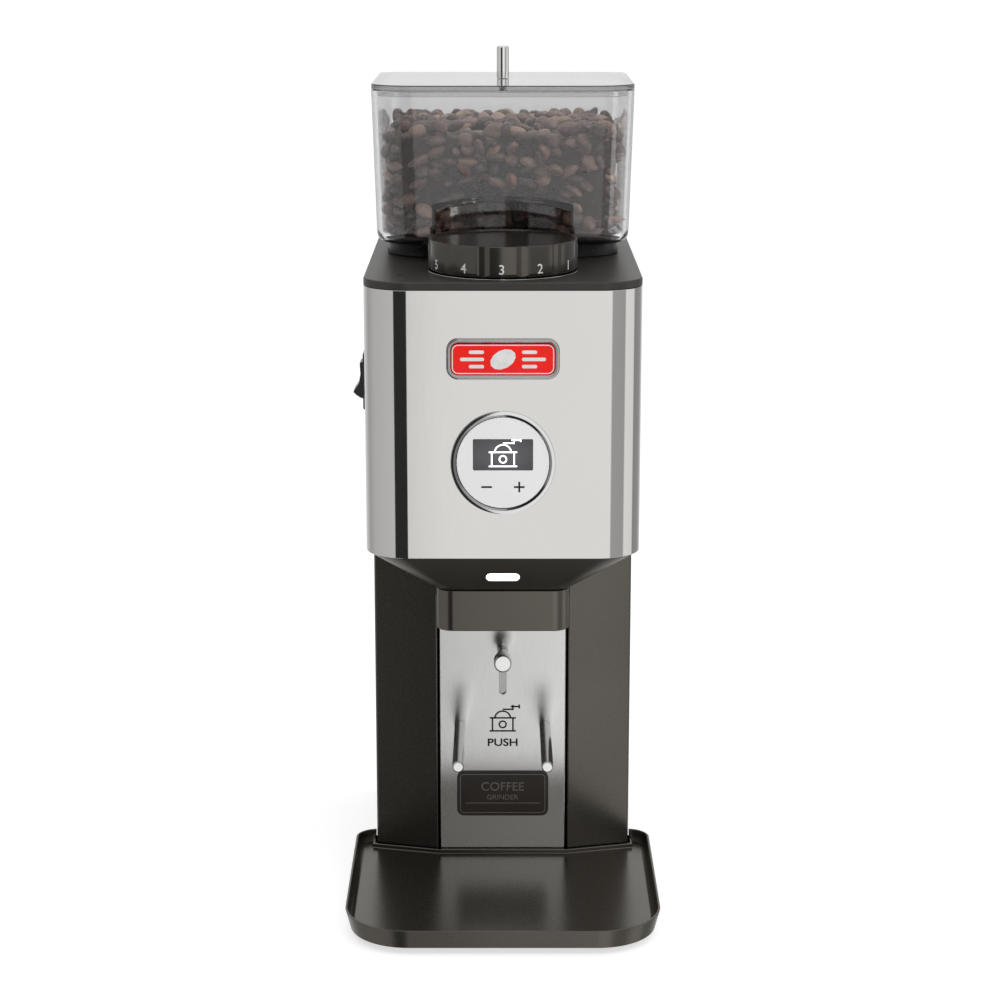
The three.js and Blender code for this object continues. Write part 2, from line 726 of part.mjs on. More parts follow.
function buildRocker() {
  const side = -bodyWidth / 2;
  const frame = (grow) => rectangle(rockerY - rockerWidth / 2 - grow, rockerY + rockerWidth / 2 + grow,
    rockerZ - rockerHeight / 2 - grow, rockerZ + rockerHeight / 2 + grow, 1.5, 3);
  const housing = cut(
    join(prismAcross(frame(0), side - 2, side - gap / 3), prismAcross(frame(-2.4), side - 1, side + 16)),
    prismAcross(frame(-3.6), side - 5, side + 13),
  );
  add('switch_housing', housing, finish.blackPlastic);
  const deep = rockerWidth / 2 - 3.6 - runningGap;
  const reach = rockerHeight / 2 - 3.6 - runningGap;
  const end = (from, to) => {
    const arc = new THREE.EllipseCurve(rockerPivot, 0, reach, reach, Math.PI + from, Math.PI + to, from > to);
    return arc.getPoints(4);
  };
  const paddle = [
    ...end(rockerOut, Math.PI / 2), new THREE.Vector2(4, -reach + 3), new THREE.Vector2(4, reach - 3),
    ...end(-Math.PI / 2, -rockerIn), new THREE.Vector2(-3.4, 3), new THREE.Vector2(-4.2, -1.5),
  ];
  const pivots = rodBack(1.2, rockerPivot, 0, rockerY - deep - gap, rockerY + deep + gap, 12);
  const blade = join(prismBack(paddle, rockerY - deep, rockerY + deep), pivots);
  add('switch_paddle', blade, finish.blackPlastic, side, 0, rockerZ);
}

function buildDisplay() {
  const face = casingFront - 1;
  const bezel = turned([
    [displayFaceRadius + gap, 8], [displayFaceRadius + gap, 0.6], [displayFaceRadius + 1, 0],
    [displayRadius - 0.8, 0],
    [displayRadius, 0.5], [displayRadius, 1 - gap / 3], [displayFaceRadius + 0.9, 1 - gap / 3],
    [displayFaceRadius + 0.9, 8],
  ], 40).rotateX(-Math.PI / 2);
  add('display_bezel', bezel, finish.chrome, 0, face, displayZ);
  const window = rectangle(
    -screenWidth / 2, screenWidth / 2, screenRise - screenHeight / 2, screenRise + screenHeight / 2, 0.6, 2,
  );
  const disc = cut(
    prismBack(circle(displayFaceRadius, 0, 0, 48), face + 0.5, face + 1.8), prismBack(window, 0, face + 5),
  );
  add('display_face', disc, finish.paleFace, 0, 0, displayZ);
  const half = screenWidth / 2 + 1;
  const tall = screenHeight / 2 + 1;
  add(
    'display_screen', box(-half, half, face + 1.9, face + 4.2, screenRise - tall, screenRise + tall),
    finish.screen, 0, 0, displayZ,
  );
  const board = join(
    prismBack(circle(displayFaceRadius - 1, 0, 0, 32), face + 4.6, face + 6.2),
    box(-7, 7, face + 6, face + 10, -12, -5),
  );
  add('display_board', board, finish.board, 0, 0, displayZ);
}

function buildBadge() {
  const plan = (inset) => rectangle(-badgeWidth / 2 + inset, badgeWidth / 2 - inset,
    badgeZ - badgeHeight / 2 + inset,
    badgeZ + badgeHeight / 2 - inset, 5.5 - inset, 6);
  const back = casingFront - gap / 3;
  const frame = cut(prismBack(plan(0), back - 2, back), prismBack(plan(badgeRim), 0, back - 0.8));
  add('badge_frame', frame, finish.chrome);
  add('badge_inlay', prismBack(plan(badgeRim + gap / 2), back - 1.7, back - 0.9), finish.red);
}

function buildBoards() {
  const wall = recessWall + sheet;
  const half = bodyWidth / 2 - 20;
  const board = join(
    box(-half, half, wall + 14, wall + 15.6, 16, 96),
    box(-38, -12, wall + 15, wall + 37, 22, 46),
    box(-6, 12, wall + 15, wall + 30, 22, 38),
    box(16, 38, wall + 15, wall + 32, 56, 76),
    box(-36, -16, wall + 15, wall + 28, 60, 86),
  );
  add('control_board', board, finish.board);
  add(
    'run_capacitor', turned([[0, 0], [16, 0], [17, 1], [17, 58], [16, 59], [0, 59]], 28),
    finish.blackPlastic, bodyWidth / 2 - 28, overallDepth - 34, 60,
  );
}

// ---------------------------------------------------------------- motor and burrs
function buildMotor() {
  const endWall = bearingHeight + 1;
  const bore = bearingRadius + gap;
  const can = turned([
    [bore, motorBottom], [motorRadius - 2, motorBottom], [motorRadius, motorBottom + 2],
    [motorRadius, motorTop - 2],
    [motorRadius - 2, motorTop], [bore, motorTop], [bore, motorTop - endWall],
    [motorRadius - 2.5, motorTop - endWall], [motorRadius - 2.5, motorBottom + endWall],
    [bore, motorBottom + endWall],
  ], 28);
  add('motor_can', can, finish.steel, 0, burrY);
  const stackLow = motorBottom + 32;
  const stackHigh = motorTop - 22;
  add('motor_stator', ring(24, motorRadius - 3, stackLow, stackHigh, 28), finish.copper, 0, burrY);
  const shaft = rod(motorShaftRadius, motorBottom - 6, lowerCarrierTop - 2);
  add('motor_rotor', join(shaft, rod(23, stackLow + 2, stackHigh - 2, 32)), finish.steel, 0, burrY);
  const bearing = (low) => ring(motorShaftRadius + gap, bearingRadius, low, low + bearingHeight, 18);
  add('lower_bearing', bearing(motorBottom + 0.5), finish.steel, 0, burrY);
  add('upper_bearing', bearing(motorTop - 0.5 - bearingHeight), finish.steel, 0, burrY);
  const fanLow = motorBottom + endWall + 3;
  const hub = ring(motorShaftRadius + gap, 9, fanLow, fanLow + 10, 24);
  const blades = Array.from(
    { length: 8 },
    (_, i) => box(8, motorRadius - 5, -0.8, 0.8, fanLow, fanLow + 10).rotateZ((i * Math.PI) / 4),
  );
  add('motor_fan', join(hub, ...blades), finish.blackPlastic, 0, burrY);

  const half = bodyWidth / 2 - casingWall - 2;
  const back = coverFront - 3;
  const bracket = cut(
    join(
      prism(rectangle(-half, half, recessWall + sheet + 4, back, 4, 3), motorTop + gap, chamberBottom - gap),
      box(-half, -half + 3, recessWall + sheet + 6, back - 4, bodyBottom + 4, chamberBottom - gap),
      box(half - 3, half, recessWall + sheet + 6, back - 4, bodyBottom + 4, chamberBottom - gap),
    ),
    rod(bearingRadius + 2, 0, bodyTop).translate(0, burrY, 0),
  );
  add('motor_bracket', bracket, finish.castAluminium);
}

// Straight cutting grooves across a burr's face.
function burrGrooves(radius, faceZ, count) {
  return Array.from({ length: count }, (_, i) => {
    return box(
      burrBore + 2, radius + 2, -1, 1, faceZ - 0.9, faceZ + 0.9,
    ).rotateX(0.18).rotateZ((2 * Math.PI * i) / count);
  });
}

function buildBurrs() {
  const chamber = cut(
    turned([
      [motorShaftRadius + 1.5, chamberBottom], [chamberRadius + 5, chamberBottom],
      [chamberRadius + 5, chamberFloor],
      [chamberRadius, chamberFloor], [chamberRadius, ringGearZ - gap], [chamberInner, ringGearZ - gap],
      [chamberInner, chamberFloor], [motorShaftRadius + 1.5, chamberFloor],
    ], 40),
    box(-8, 8, -chamberRadius - 10, -chamberInner + 4, chamberFloor + 0.4, chamberFloor + 14),
    box(-chuteRadius - 3, chuteRadius + 3, -chamberRadius - 10, -chamberRadius + 2.5, 0, chamberFloor),
  );
  add('burr_chamber', chamber, finish.castAluminium, 0, burrY);
  const hub = turned([
    [motorShaftRadius + gap, lowerCarrierBottom], [10, lowerCarrierBottom], [10, lowerCarrierBottom + 2],
    [burrRadius, lowerCarrierBottom + 2], [burrRadius, lowerCarrierTop],
    [motorShaftRadius + gap, lowerCarrierTop],
  ], 36);
  const sweepers = Array.from({ length: 3 }, (_, i) => {
    return box(
      burrRadius - 2, burrRadius + sweeperReach, -2, 2, lowerCarrierBottom, lowerCarrierTop - 1,
    ).rotateZ((2 * Math.PI * i) / 3);
  });
  add('lower_burr_carrier', join(hub, ...sweepers), finish.castAluminium, 0, burrY);
  const lowerFace = lowerBurrBottom + burrThickness;
  const lower = turned([[burrBore, lowerBurrBottom], [burrRadius, lowerBurrBottom],
    [burrRadius, lowerFace], [burrRadius - 5, lowerFace],
    [burrBore, lowerFace - 2.5]], 40);
  add('lower_burr', cut(lower, ...burrGrooves(burrRadius, lowerFace, 12)), finish.steel, 0, burrY);
  const upper = turned([[burrBore, upperBurrBottom + 2.5], [burrRadius - 5, upperBurrBottom],
    [burrRadius, upperBurrBottom],
    [burrRadius, upperBurrTop], [burrBore, upperBurrTop]], 40);
  add('upper_burr', cut(upper, ...burrGrooves(burrRadius, upperBurrBottom, 12)), finish.steel, 0, burrY);
  const carrier = turned([
    [throatRadius, upperBurrTop + gap], [carrierRadius, upperBurrTop + gap], [carrierRadius, carrierTop],
    [throatRadius + 4, carrierTop], [throatRadius, carrierTop - 5],
  ], 40);
  add('upper_burr_carrier', carrier, finish.brass, 0, burrY);
}

// ---------------------------------------------------------------- grind adjustment
function buildAdjustment() {
  const gear = prism(
    gearOutline(ringGearTeeth, ringPitch, -Math.PI / 2), ringGearZ, ringGearZ + gearThickness,
  );
  add(
    'adjusting_ring', cut(gear, rod(carrierRadius + runningGap, 0, bodyTop, 48)), finish.castAluminium, 0,
    burrY,
  );
  const pinion = prism(
    gearOutline(pinionTeeth, pinionPitch, Math.PI / 2 + Math.PI / pinionTeeth), ringGearZ,
    ringGearZ + gearThickness,
  );
  const spindle = rod(spindleRadius, ringGearZ - 8, dialBottom + 8);
  add('dial_pinion', join(pinion, spindle), finish.brass, 0, dialAxisY);
  const post = cut(
    join(
      rod(8, chamberFloor + 26, ringGearZ - runningGap),
      box(-12, 12, -8, chamberRadius, chamberFloor + 26, chamberFloor + 30),
    ),
    rod(spindleRadius + gap, ringGearZ - 9, bodyTop),
    rod(chamberRadius + gap, 0, bodyTop, 48).translate(0, burrY - dialAxisY, 0),
  );
  add('pinion_post', post, finish.castAluminium, 0, dialAxisY);

  const fluteDepth = 0.7;
  const fluteHalf = 3.5;
  const fluteRadius = (fluteHalf ** 2 + fluteDepth ** 2) / (2 * fluteDepth);
  const blank = turned([
    [0, 0], [dialRadius - 3, 0], [dialRadius - 1, 0.7], [dialRadius, 2.4], [dialRadius, dialHeight - 0.6],
    [dialRadius - 0.6, dialHeight], [dialRadius - 2, dialHeight], [dialRadius - 2.6, dialHeight - 1],
    [0, dialHeight - 1],
  ], 48);
  const flutes = Array.from({ length: dialFlutes }, (_, i) => {
    const angle = (2 * Math.PI * (i + 0.5)) / dialFlutes - Math.PI / 2;
    const reach = dialRadius - fluteDepth + fluteRadius;
    return rod(fluteRadius, -1, dialHeight + 1, 28).translate(
      reach * Math.cos(angle), reach * Math.sin(angle), 0,
    );
  });
  const dial = cut(blank, ...flutes, rod(spindleRadius + gap, -1, 8 + gap));
  add('grind_dial', dial, finish.darkPlastic, 0, dialAxisY, dialBottom);
}

// ---------------------------------------------------------------- hopper, lid and beans
function hopperPlan(z, inset) {
  const low = 1 - (z - hopperBottom) / (hopperTop - hopperBottom);
  const half = hopperHalf - hopperDraft * low - inset;
  const front = hopperFront + inset;
  const back = hopperBack - hopperDraft * low - inset;
  return outline([
    [-half, front, hopperRadius - inset], [half, front, hopperRadius - inset],
    [half, back, hopperRearRadius - inset], [-half, back, hopperRearRadius - inset],
  ], 6);
}

// The hopper's form with a rounded lower edge, shrunk by a wall.
function hopperForm(wall, top) {
  const bottom = hopperBottom + wall;
  const radius = hopperFloorRadius - wall / 2;
  const steps = 4;
  const layers = Array.from({ length: steps + 1 }, (_, i) => {
    const turn = (Math.PI / 2) * (i / steps);
    const z = bottom + radius * (1 - Math.cos(turn));
    return [hopperPlan(z, wall + radius * (1 - Math.sin(turn))), z];
  });
  layers.push([hopperPlan(top, wall), top]);
  return loft(layers);
}

// The arched pocket round the dial, grown by a wall.
function dialPocket(grow) {
  const radius = dialRadius + pocketClearance + grow;
  const mouth = Math.sqrt((dialRadius + pocketClearance) ** 2 - hopperFromDial ** 2) + grow;
  const bow = (mouth ** 2 + pocketArch ** 2) / (2 * pocketArch);
  const lift = pocketSide + grow + pocketArch - bow;
  const sweep = Math.asin(mouth / bow);
  const arch = new THREE.EllipseCurve(
    0, lift, bow, bow, Math.PI / 2 - sweep, Math.PI / 2 + sweep,
  ).getPoints(10);
  const profile = [
    new THREE.Vector2(-mouth, hopperBottom - 20), new THREE.Vector2(mouth, hopperBottom - 20), ...arch,
  ];
  return common(
    prismBack(profile, 0, burrY),
    rod(radius, hopperBottom - 30, hopperTop, 40).translate(0, dialAxisY, 0),
  );
}

function buildHopper() {
  const neckLow = carrierTop + 1.5;
  const neck = ring(
    neckRadius, neckRadius + hopperWall - 0.7, neckLow, hopperBottom + 1, 32,
  ).translate(0, burrY, 0);
  const shell = cut(
    join(cut(hopperForm(0, hopperTop), dialPocket(0)), neck),
    cut(hopperForm(hopperWall, hopperTop + 5), dialPocket(hopperWall)),
    rod(neckRadius, 0, hopperBottom + 6, 32).translate(0, burrY, 0),
  );
  add('hopper', shell, finish.smoked);

  const half = hopperHalf - hopperDraft - seatInset + 2;
  const seat = cut(
    loft([
      [rectangle(-half, half, seatFront, hopperBack - seatInset, seatCornerRadius), capTop + gap],
      [
        rectangle(-half - 1.5, half + 1.5, seatFront - 1.5, hopperBack - seatInset + 1, seatCornerRadius),
        seatTop,
      ],
    ]),
    rod(neckRadius + hopperWall, 0, bodyTop * 2, 40).translate(0, burrY, 0),
  );
  add('hopper_seat', seat, finish.blackPlastic);

  const lidLow = hopperTop + gap;
  const lid = cut(
    join(
      loft([
        [hopperPlan(hopperTop, 0), lidLow], [hopperPlan(hopperTop, 0), lidLow + lidThickness - 0.5],
        [hopperPlan(hopperTop, 0.5), lidLow + lidThickness],
      ]),
      prism(hopperPlan(hopperTop, hopperWall + runningGap), lidLow - 3, lidLow + 0.5),
    ),
    prism(hopperPlan(hopperTop, hopperWall + runningGap + 1.6), 0, lidLow),
    rod(1.8, 0, hopperTop * 2, 16).translate(0, (hopperFront + hopperBack) / 2, 0),
  );
  add('hopper_lid', lid, finish.smoked);
  const lidTop = lidLow + lidThickness + 0.1;
  const pin = turned([
    [0, -lidThickness - 2], [1.5, -lidThickness - 2], [1.5, 0], [lidPinRadius, 0],
    [lidPinRadius, lidPinHeight - 0.8],
    [lidPinRadius - 0.8, lidPinHeight], [0, lidPinHeight],
  ], 24);
  add('lid_pin', pin, finish.chrome, 0, (hopperFront + hopperBack) / 2, lidTop);

  const charge = cut(hopperForm(hopperWall + runningGap, beanLevel), dialPocket(hopperWall + runningGap));
  add('coffee_beans', charge, finish.beans);
}

buildBase();
buildTray();
buildColumn();
buildPushPlate();
buildForkAndHook();
buildPlateSpring();
buildMicroswitch();
buildNose();
buildChin();
buildChute();
buildCasing();
buildCap();
buildRearCover();
buildInlet();
buildRocker();
buildDisplay();
buildBadge();
buildBoards();
buildMotor();
buildBurrs();
buildAdjustment();
buildHopper();

export default grinder;
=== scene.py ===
# A burr coffee grinder: finished surfaces, materials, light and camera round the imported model.
# Metres, +Z up, the front faces -Y.
import math
import random

import bmesh
import bpy
from mathutils import Matrix, Vector


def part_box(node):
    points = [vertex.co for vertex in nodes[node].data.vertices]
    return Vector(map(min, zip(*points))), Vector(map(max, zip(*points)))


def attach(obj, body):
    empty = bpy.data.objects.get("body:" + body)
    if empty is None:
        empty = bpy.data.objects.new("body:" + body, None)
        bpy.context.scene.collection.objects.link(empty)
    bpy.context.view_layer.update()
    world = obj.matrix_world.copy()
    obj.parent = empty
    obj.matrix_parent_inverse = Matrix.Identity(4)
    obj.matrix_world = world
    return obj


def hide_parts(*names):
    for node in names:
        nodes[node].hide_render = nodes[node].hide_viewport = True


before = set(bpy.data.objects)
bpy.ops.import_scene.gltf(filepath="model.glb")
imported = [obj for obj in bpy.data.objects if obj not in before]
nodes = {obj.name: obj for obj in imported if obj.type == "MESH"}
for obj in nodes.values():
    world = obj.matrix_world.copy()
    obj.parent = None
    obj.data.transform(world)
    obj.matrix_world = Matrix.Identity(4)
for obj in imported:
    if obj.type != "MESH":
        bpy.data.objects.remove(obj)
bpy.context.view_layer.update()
scene = bpy.context.scene
mm = 0.001

# Mesh tools


# A flat face with rounded corners at height z.
def roundedFace(bm, outline, z):
    corners = [
        (outline["left"], outline["front"]), (outline["right"], outline["front"]),
        (outline["right"], outline["back"]), (outline["left"], outline["back"]),
    ]
    verts = [bm.verts.new((x, y, z)) for x, y in corners]
    bm.faces.new(verts)
    for pair, radius in ((verts[:2], outline["frontRadius"]), (verts[2:], outline["backRadius"])):
        if radius > 0:
            bmesh.ops.bevel(
                bm, geom=pair, offset=radius, offset_type="OFFSET", segments=outline["steps"],
                profile=0.5, affect="VERTICES", material=-1,
            )
    return next(f for f in bm.faces if all(abs(v.co.z - z) < 1e-6 for v in f.verts))


# A plan as a dictionary, shrunk by an inset.
def plan(left, right, front, back, frontRadius=0.0, backRadius=0.0, inset=0.0, steps=16):
    return {
        "left": left + inset, "right": right - inset, "front": front + inset, "back": back - inset,
        "frontRadius": max(frontRadius - inset, 0.0), "backRadius": max(backRadius - inset, 0.0),
        "steps": steps,
    }


# A closed solid skinned over rounded plans, lowest first.
def loft(layers):
    bm = bmesh.new()
    faces = [roundedFace(bm, layer, z) for layer, z in layers]
    for lower, upper in zip(faces, faces[1:]):
        bmesh.ops.bridge_loops(bm, edges=list(lower.edges) + list(upper.edges))
    bmesh.ops.delete(bm, geom=faces[1:-1], context="FACES_ONLY")
    bmesh.ops.recalc_face_normals(bm, faces=bm.faces)
    return bm


def block(low, high):
    outline = plan(low[0], high[0], low[1], high[1])
    return loft([(outline, low[2]), (outline, high[2])])


# A prism over (x, y) corners.
def prism(corners, low, high):
    bm = bmesh.new()
    face = bm.faces.new([bm.verts.new((x, y, low)) for x, y in corners])
    raised = bmesh.ops.extrude_face_region(bm, geom=[face])
    top = [v for v in raised["geom"] if isinstance(v, bmesh.types.BMVert)]
    bmesh.ops.translate(bm, verts=top, vec=(0, 0, high - low))
    bmesh.ops.recalc_face_normals(bm, faces=bm.faces)
    return bm


# A full turn of a (radius, height) profile about Z, closed if it starts and ends on the axis.
def turned(profile, steps=64, closed=False):
    bm = bmesh.new()
    verts = [bm.verts.new((radius, 0, height)) for radius, height in profile]
    ends = list(zip(verts, verts[1:]))
    if closed:
        ends.append((verts[-1], verts[0]))
    edges = [bm.edges.new(pair) for pair in ends]
    bmesh.ops.spin(
        bm, geom=verts + edges, cent=(0, 0, 0), axis=(0, 0, 1), dvec=(0, 0, 0),
        angle=2 * math.pi, steps=steps, use_merge=True, use_duplicate=False,
    )
    bmesh.ops.remove_doubles(bm, verts=bm.verts, dist=1e-7)
    bmesh.ops.recalc_face_normals(bm, faces=bm.faces)
    return bm


def rod(radius, low, high, steps=48):
    return turned([(0, low), (radius, low), (radius, high), (0, high)], steps)


def moved(bm, place=(0, 0, 0), turn=None):
    matrix = Matrix.Translation(place)
    if turn:
        angle, axis = turn
        matrix = matrix @ Matrix.Rotation(angle, 4, axis)
    bmesh.ops.transform(bm, matrix=matrix, verts=bm.verts)
    return bm


# Turns a piece made upright so that its height runs towards the front, -Y.
def forward(bm, x, y, z):
    return moved(bm, (x, y, z), (math.pi / 2, "X"))


def merged(*parts):
    whole = bmesh.new()
    for part in parts:
        mesh = bpy.data.meshes.new("part")
        part.to_mesh(mesh)
        part.free()
        whole.from_mesh(mesh)
        bpy.data.meshes.remove(mesh)
    return whole


def scratch(bm):
    mesh = bpy.data.meshes.new("scratch")
    bm.to_mesh(mesh)
    bm.free()
    thing = bpy.data.objects.new("scratch", mesh)
    scene.collection.objects.link(thing)
    return thing


# Cuts tools out of a solid, or joins them to it.
def combined(bm, tools, operation="DIFFERENCE"):
    piece = scratch(bm)
    cutters = [scratch(tool) for tool in tools]
    for cutter in cutters:
        change = piece.modifiers.new("combine", "BOOLEAN")
        change.operation = operation
        change.solver = "EXACT"
        change.object = cutter
    bpy.context.view_layer.update()
    evaluated = piece.evaluated_get(bpy.context.evaluated_depsgraph_get())
    result = bmesh.new()
    result.from_mesh(evaluated.to_mesh())
    evaluated.to_mesh_clear()
    for thing in [piece, *cutters]:
        data = thing.data
        bpy.data.objects.remove(thing)
        bpy.data.meshes.remove(data)
    bmesh.ops.remove_doubles(result, verts=result.verts, dist=2e-6)
    bmesh.ops.dissolve_degenerate(result, edges=result.edges, dist=2e-6)
    return result


def join(bm, *tools):
    return combined(bm, tools, "UNION")


# Makes the finished object: soft edges, smooth shading, its material, its body and the nodes it stands for.
def finish(name, bm, look, body, replaced=(), edge=0.0, edgeSteps=2, sharpAngle=32):
    bmesh.ops.recalc_face_normals(bm, faces=bm.faces)
    for face in bm.faces:
        face.smooth = True
    for line in bm.edges:
        line.smooth = len(line.link_faces) == 2 and line.calc_face_angle(0) < math.radians(sharpAngle)
    mesh = bpy.data.meshes.new(name)
    bm.to_mesh(mesh)
    bm.free()
    mesh.materials.append(look)
    piece = bpy.data.objects.new(name, mesh)
    scene.collection.objects.link(piece)
    if edge > 0:
        rounding = piece.modifiers.new("edges", "BEVEL")
        rounding.width = edge
        rounding.segments = edgeSteps
        rounding.limit_method = "ANGLE"
        rounding.angle_limit = math.radians(sharpAngle)
        rounding.use_clamp_overlap = False
        rounding.miter_outer = "MITER_ARC"
    shading = piece.modifiers.new("shading", "WEIGHTED_NORMAL")
    shading.keep_sharp = True
    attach(piece, body)
    if replaced:
        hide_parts(*replaced)
    return piece


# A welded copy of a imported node, its flat faces made whole again, ready for soft edges.
def refined(node):
    bm = bmesh.new()
    bm.from_mesh(nodes[node].data)
    bmesh.ops.remove_doubles(bm, verts=bm.verts, dist=2e-6)
    bmesh.ops.dissolve_limit(
        bm, angle_limit=math.radians(0.6), verts=bm.verts, edges=bm.edges, use_dissolve_boundaries=False,
    )
    return bm


# Plain lettering as a solid, its height along Z and its face towards -Y, centred on x and z.
def lettering(words, height, depth, bold=0.0):
    curve = bpy.data.curves.new("letters", "FONT")
    curve.body = words
    curve.size = height / 0.69
    curve.extrude = depth / 2
    curve.offset = bold
    curve.resolution_u = 4
    thing = bpy.data.objects.new("letters", curve)
    scene.collection.objects.link(thing)
    bpy.context.view_layer.update()
    evaluated = thing.evaluated_get(bpy.context.evaluated_depsgraph_get())
    bm = bmesh.new()
    bm.from_mesh(evaluated.to_mesh())
    evaluated.to_mesh_clear()
    bpy.data.objects.remove(thing)
    bpy.data.curves.remove(curve)
    bmesh.ops.remove_doubles(bm, verts=bm.verts, dist=1e-7)
    across = [v.co.x for v in bm.verts]
    up = [v.co.y for v in bm.verts]
    middle = ((min(across) + max(across)) / 2, (min(up) + max(up)) / 2)
    bmesh.ops.translate(bm, verts=bm.verts, vec=(-middle[0], -middle[1], 0))
    bmesh.ops.rotate(bm, verts=bm.verts, cent=(0, 0, 0), matrix=Matrix.Rotation(math.pi / 2, 3, "X"))
    return bm


# Materials


# Sets constants on a node's sockets.
def put(node, values):
    for socket, value in values.items():
        node.inputs[socket].default_value = value


# Fills a colour ramp with (position, colour) stops.
def fillRamp(ramp, rows):
    stops = ramp.color_ramp.elements
    for stop, (position, colour) in zip(stops, (rows[0], rows[-1])):
        stop.position = position
        stop.color = (*colour, 1)
    for position, colour in rows[1:-1]:
        stops.new(position).color = (*colour, 1)


def principled(material):
    return next(n for n in material.node_tree.nodes if n.type == "BSDF_PRINCIPLED")


# A surface with its own grain: two tones, uneven roughness and a fine relief, all on object coordinates.
def surface(name, look):
    material = bpy.data.materials.new(name)
    material.use_nodes = True
    tree = material.node_tree
    tree.nodes.clear()
    node = tree.nodes.new
    link = tree.links.new
    output = node("ShaderNodeOutputMaterial")
    shader = node("ShaderNodeBsdfPrincipled")
    link(shader.outputs["BSDF"], output.inputs["Surface"])
    put(shader, {
        "Metallic": look.get("metallic", 0.0), "IOR": look.get("ior", 1.5),
        "Coat Weight": look.get("coat", 0.0), "Coat Roughness": look.get("coatRoughness", 0.05),
        "Transmission Weight": look.get("clear", 0.0), "Specular IOR Level": look.get("specular", 0.5),
    })
    place = node("ShaderNodeTexCoord")
    mapping = node("ShaderNodeMapping")
    mapping.inputs["Scale"].default_value = look.get("stretch", (1, 1, 1))
    link(place.outputs["Object"], mapping.inputs["Vector"])
    grain = node("ShaderNodeTexNoise")
    put(grain, {"Scale": look["grain"], "Detail": 4.0})
    link(mapping.outputs["Vector"], grain.inputs["Vector"])
    cloud = node("ShaderNodeTexNoise")
    put(cloud, {"Scale": look["cloud"], "Detail": 2.0})
    link(place.outputs["Object"], cloud.inputs["Vector"])
    tones = node("ShaderNodeValToRGB")
    dark, light = look["tones"]
    fillRamp(tones, [(0.3, dark), (0.7, light)])
    link(cloud.outputs["Fac"], tones.inputs["Fac"])
    link(tones.outputs["Color"], shader.inputs["Base Color"])
    rough = node("ShaderNodeMapRange")
    smooth, matt = look["roughness"]
    put(rough, {"From Min": 0.3, "From Max": 0.7, "To Min": smooth, "To Max": matt})
    link(grain.outputs["Fac"], rough.inputs["Value"])
    link(rough.outputs["Result"], shader.inputs["Roughness"])
    relief = node("ShaderNodeBump")
    put(relief, {"Strength": look["relief"], "Distance": look.get("depth", 0.02 * mm)})
    link(grain.outputs["Fac"], relief.inputs["Height"])
    link(relief.outputs["Normal"], shader.inputs["Normal"])
    return material


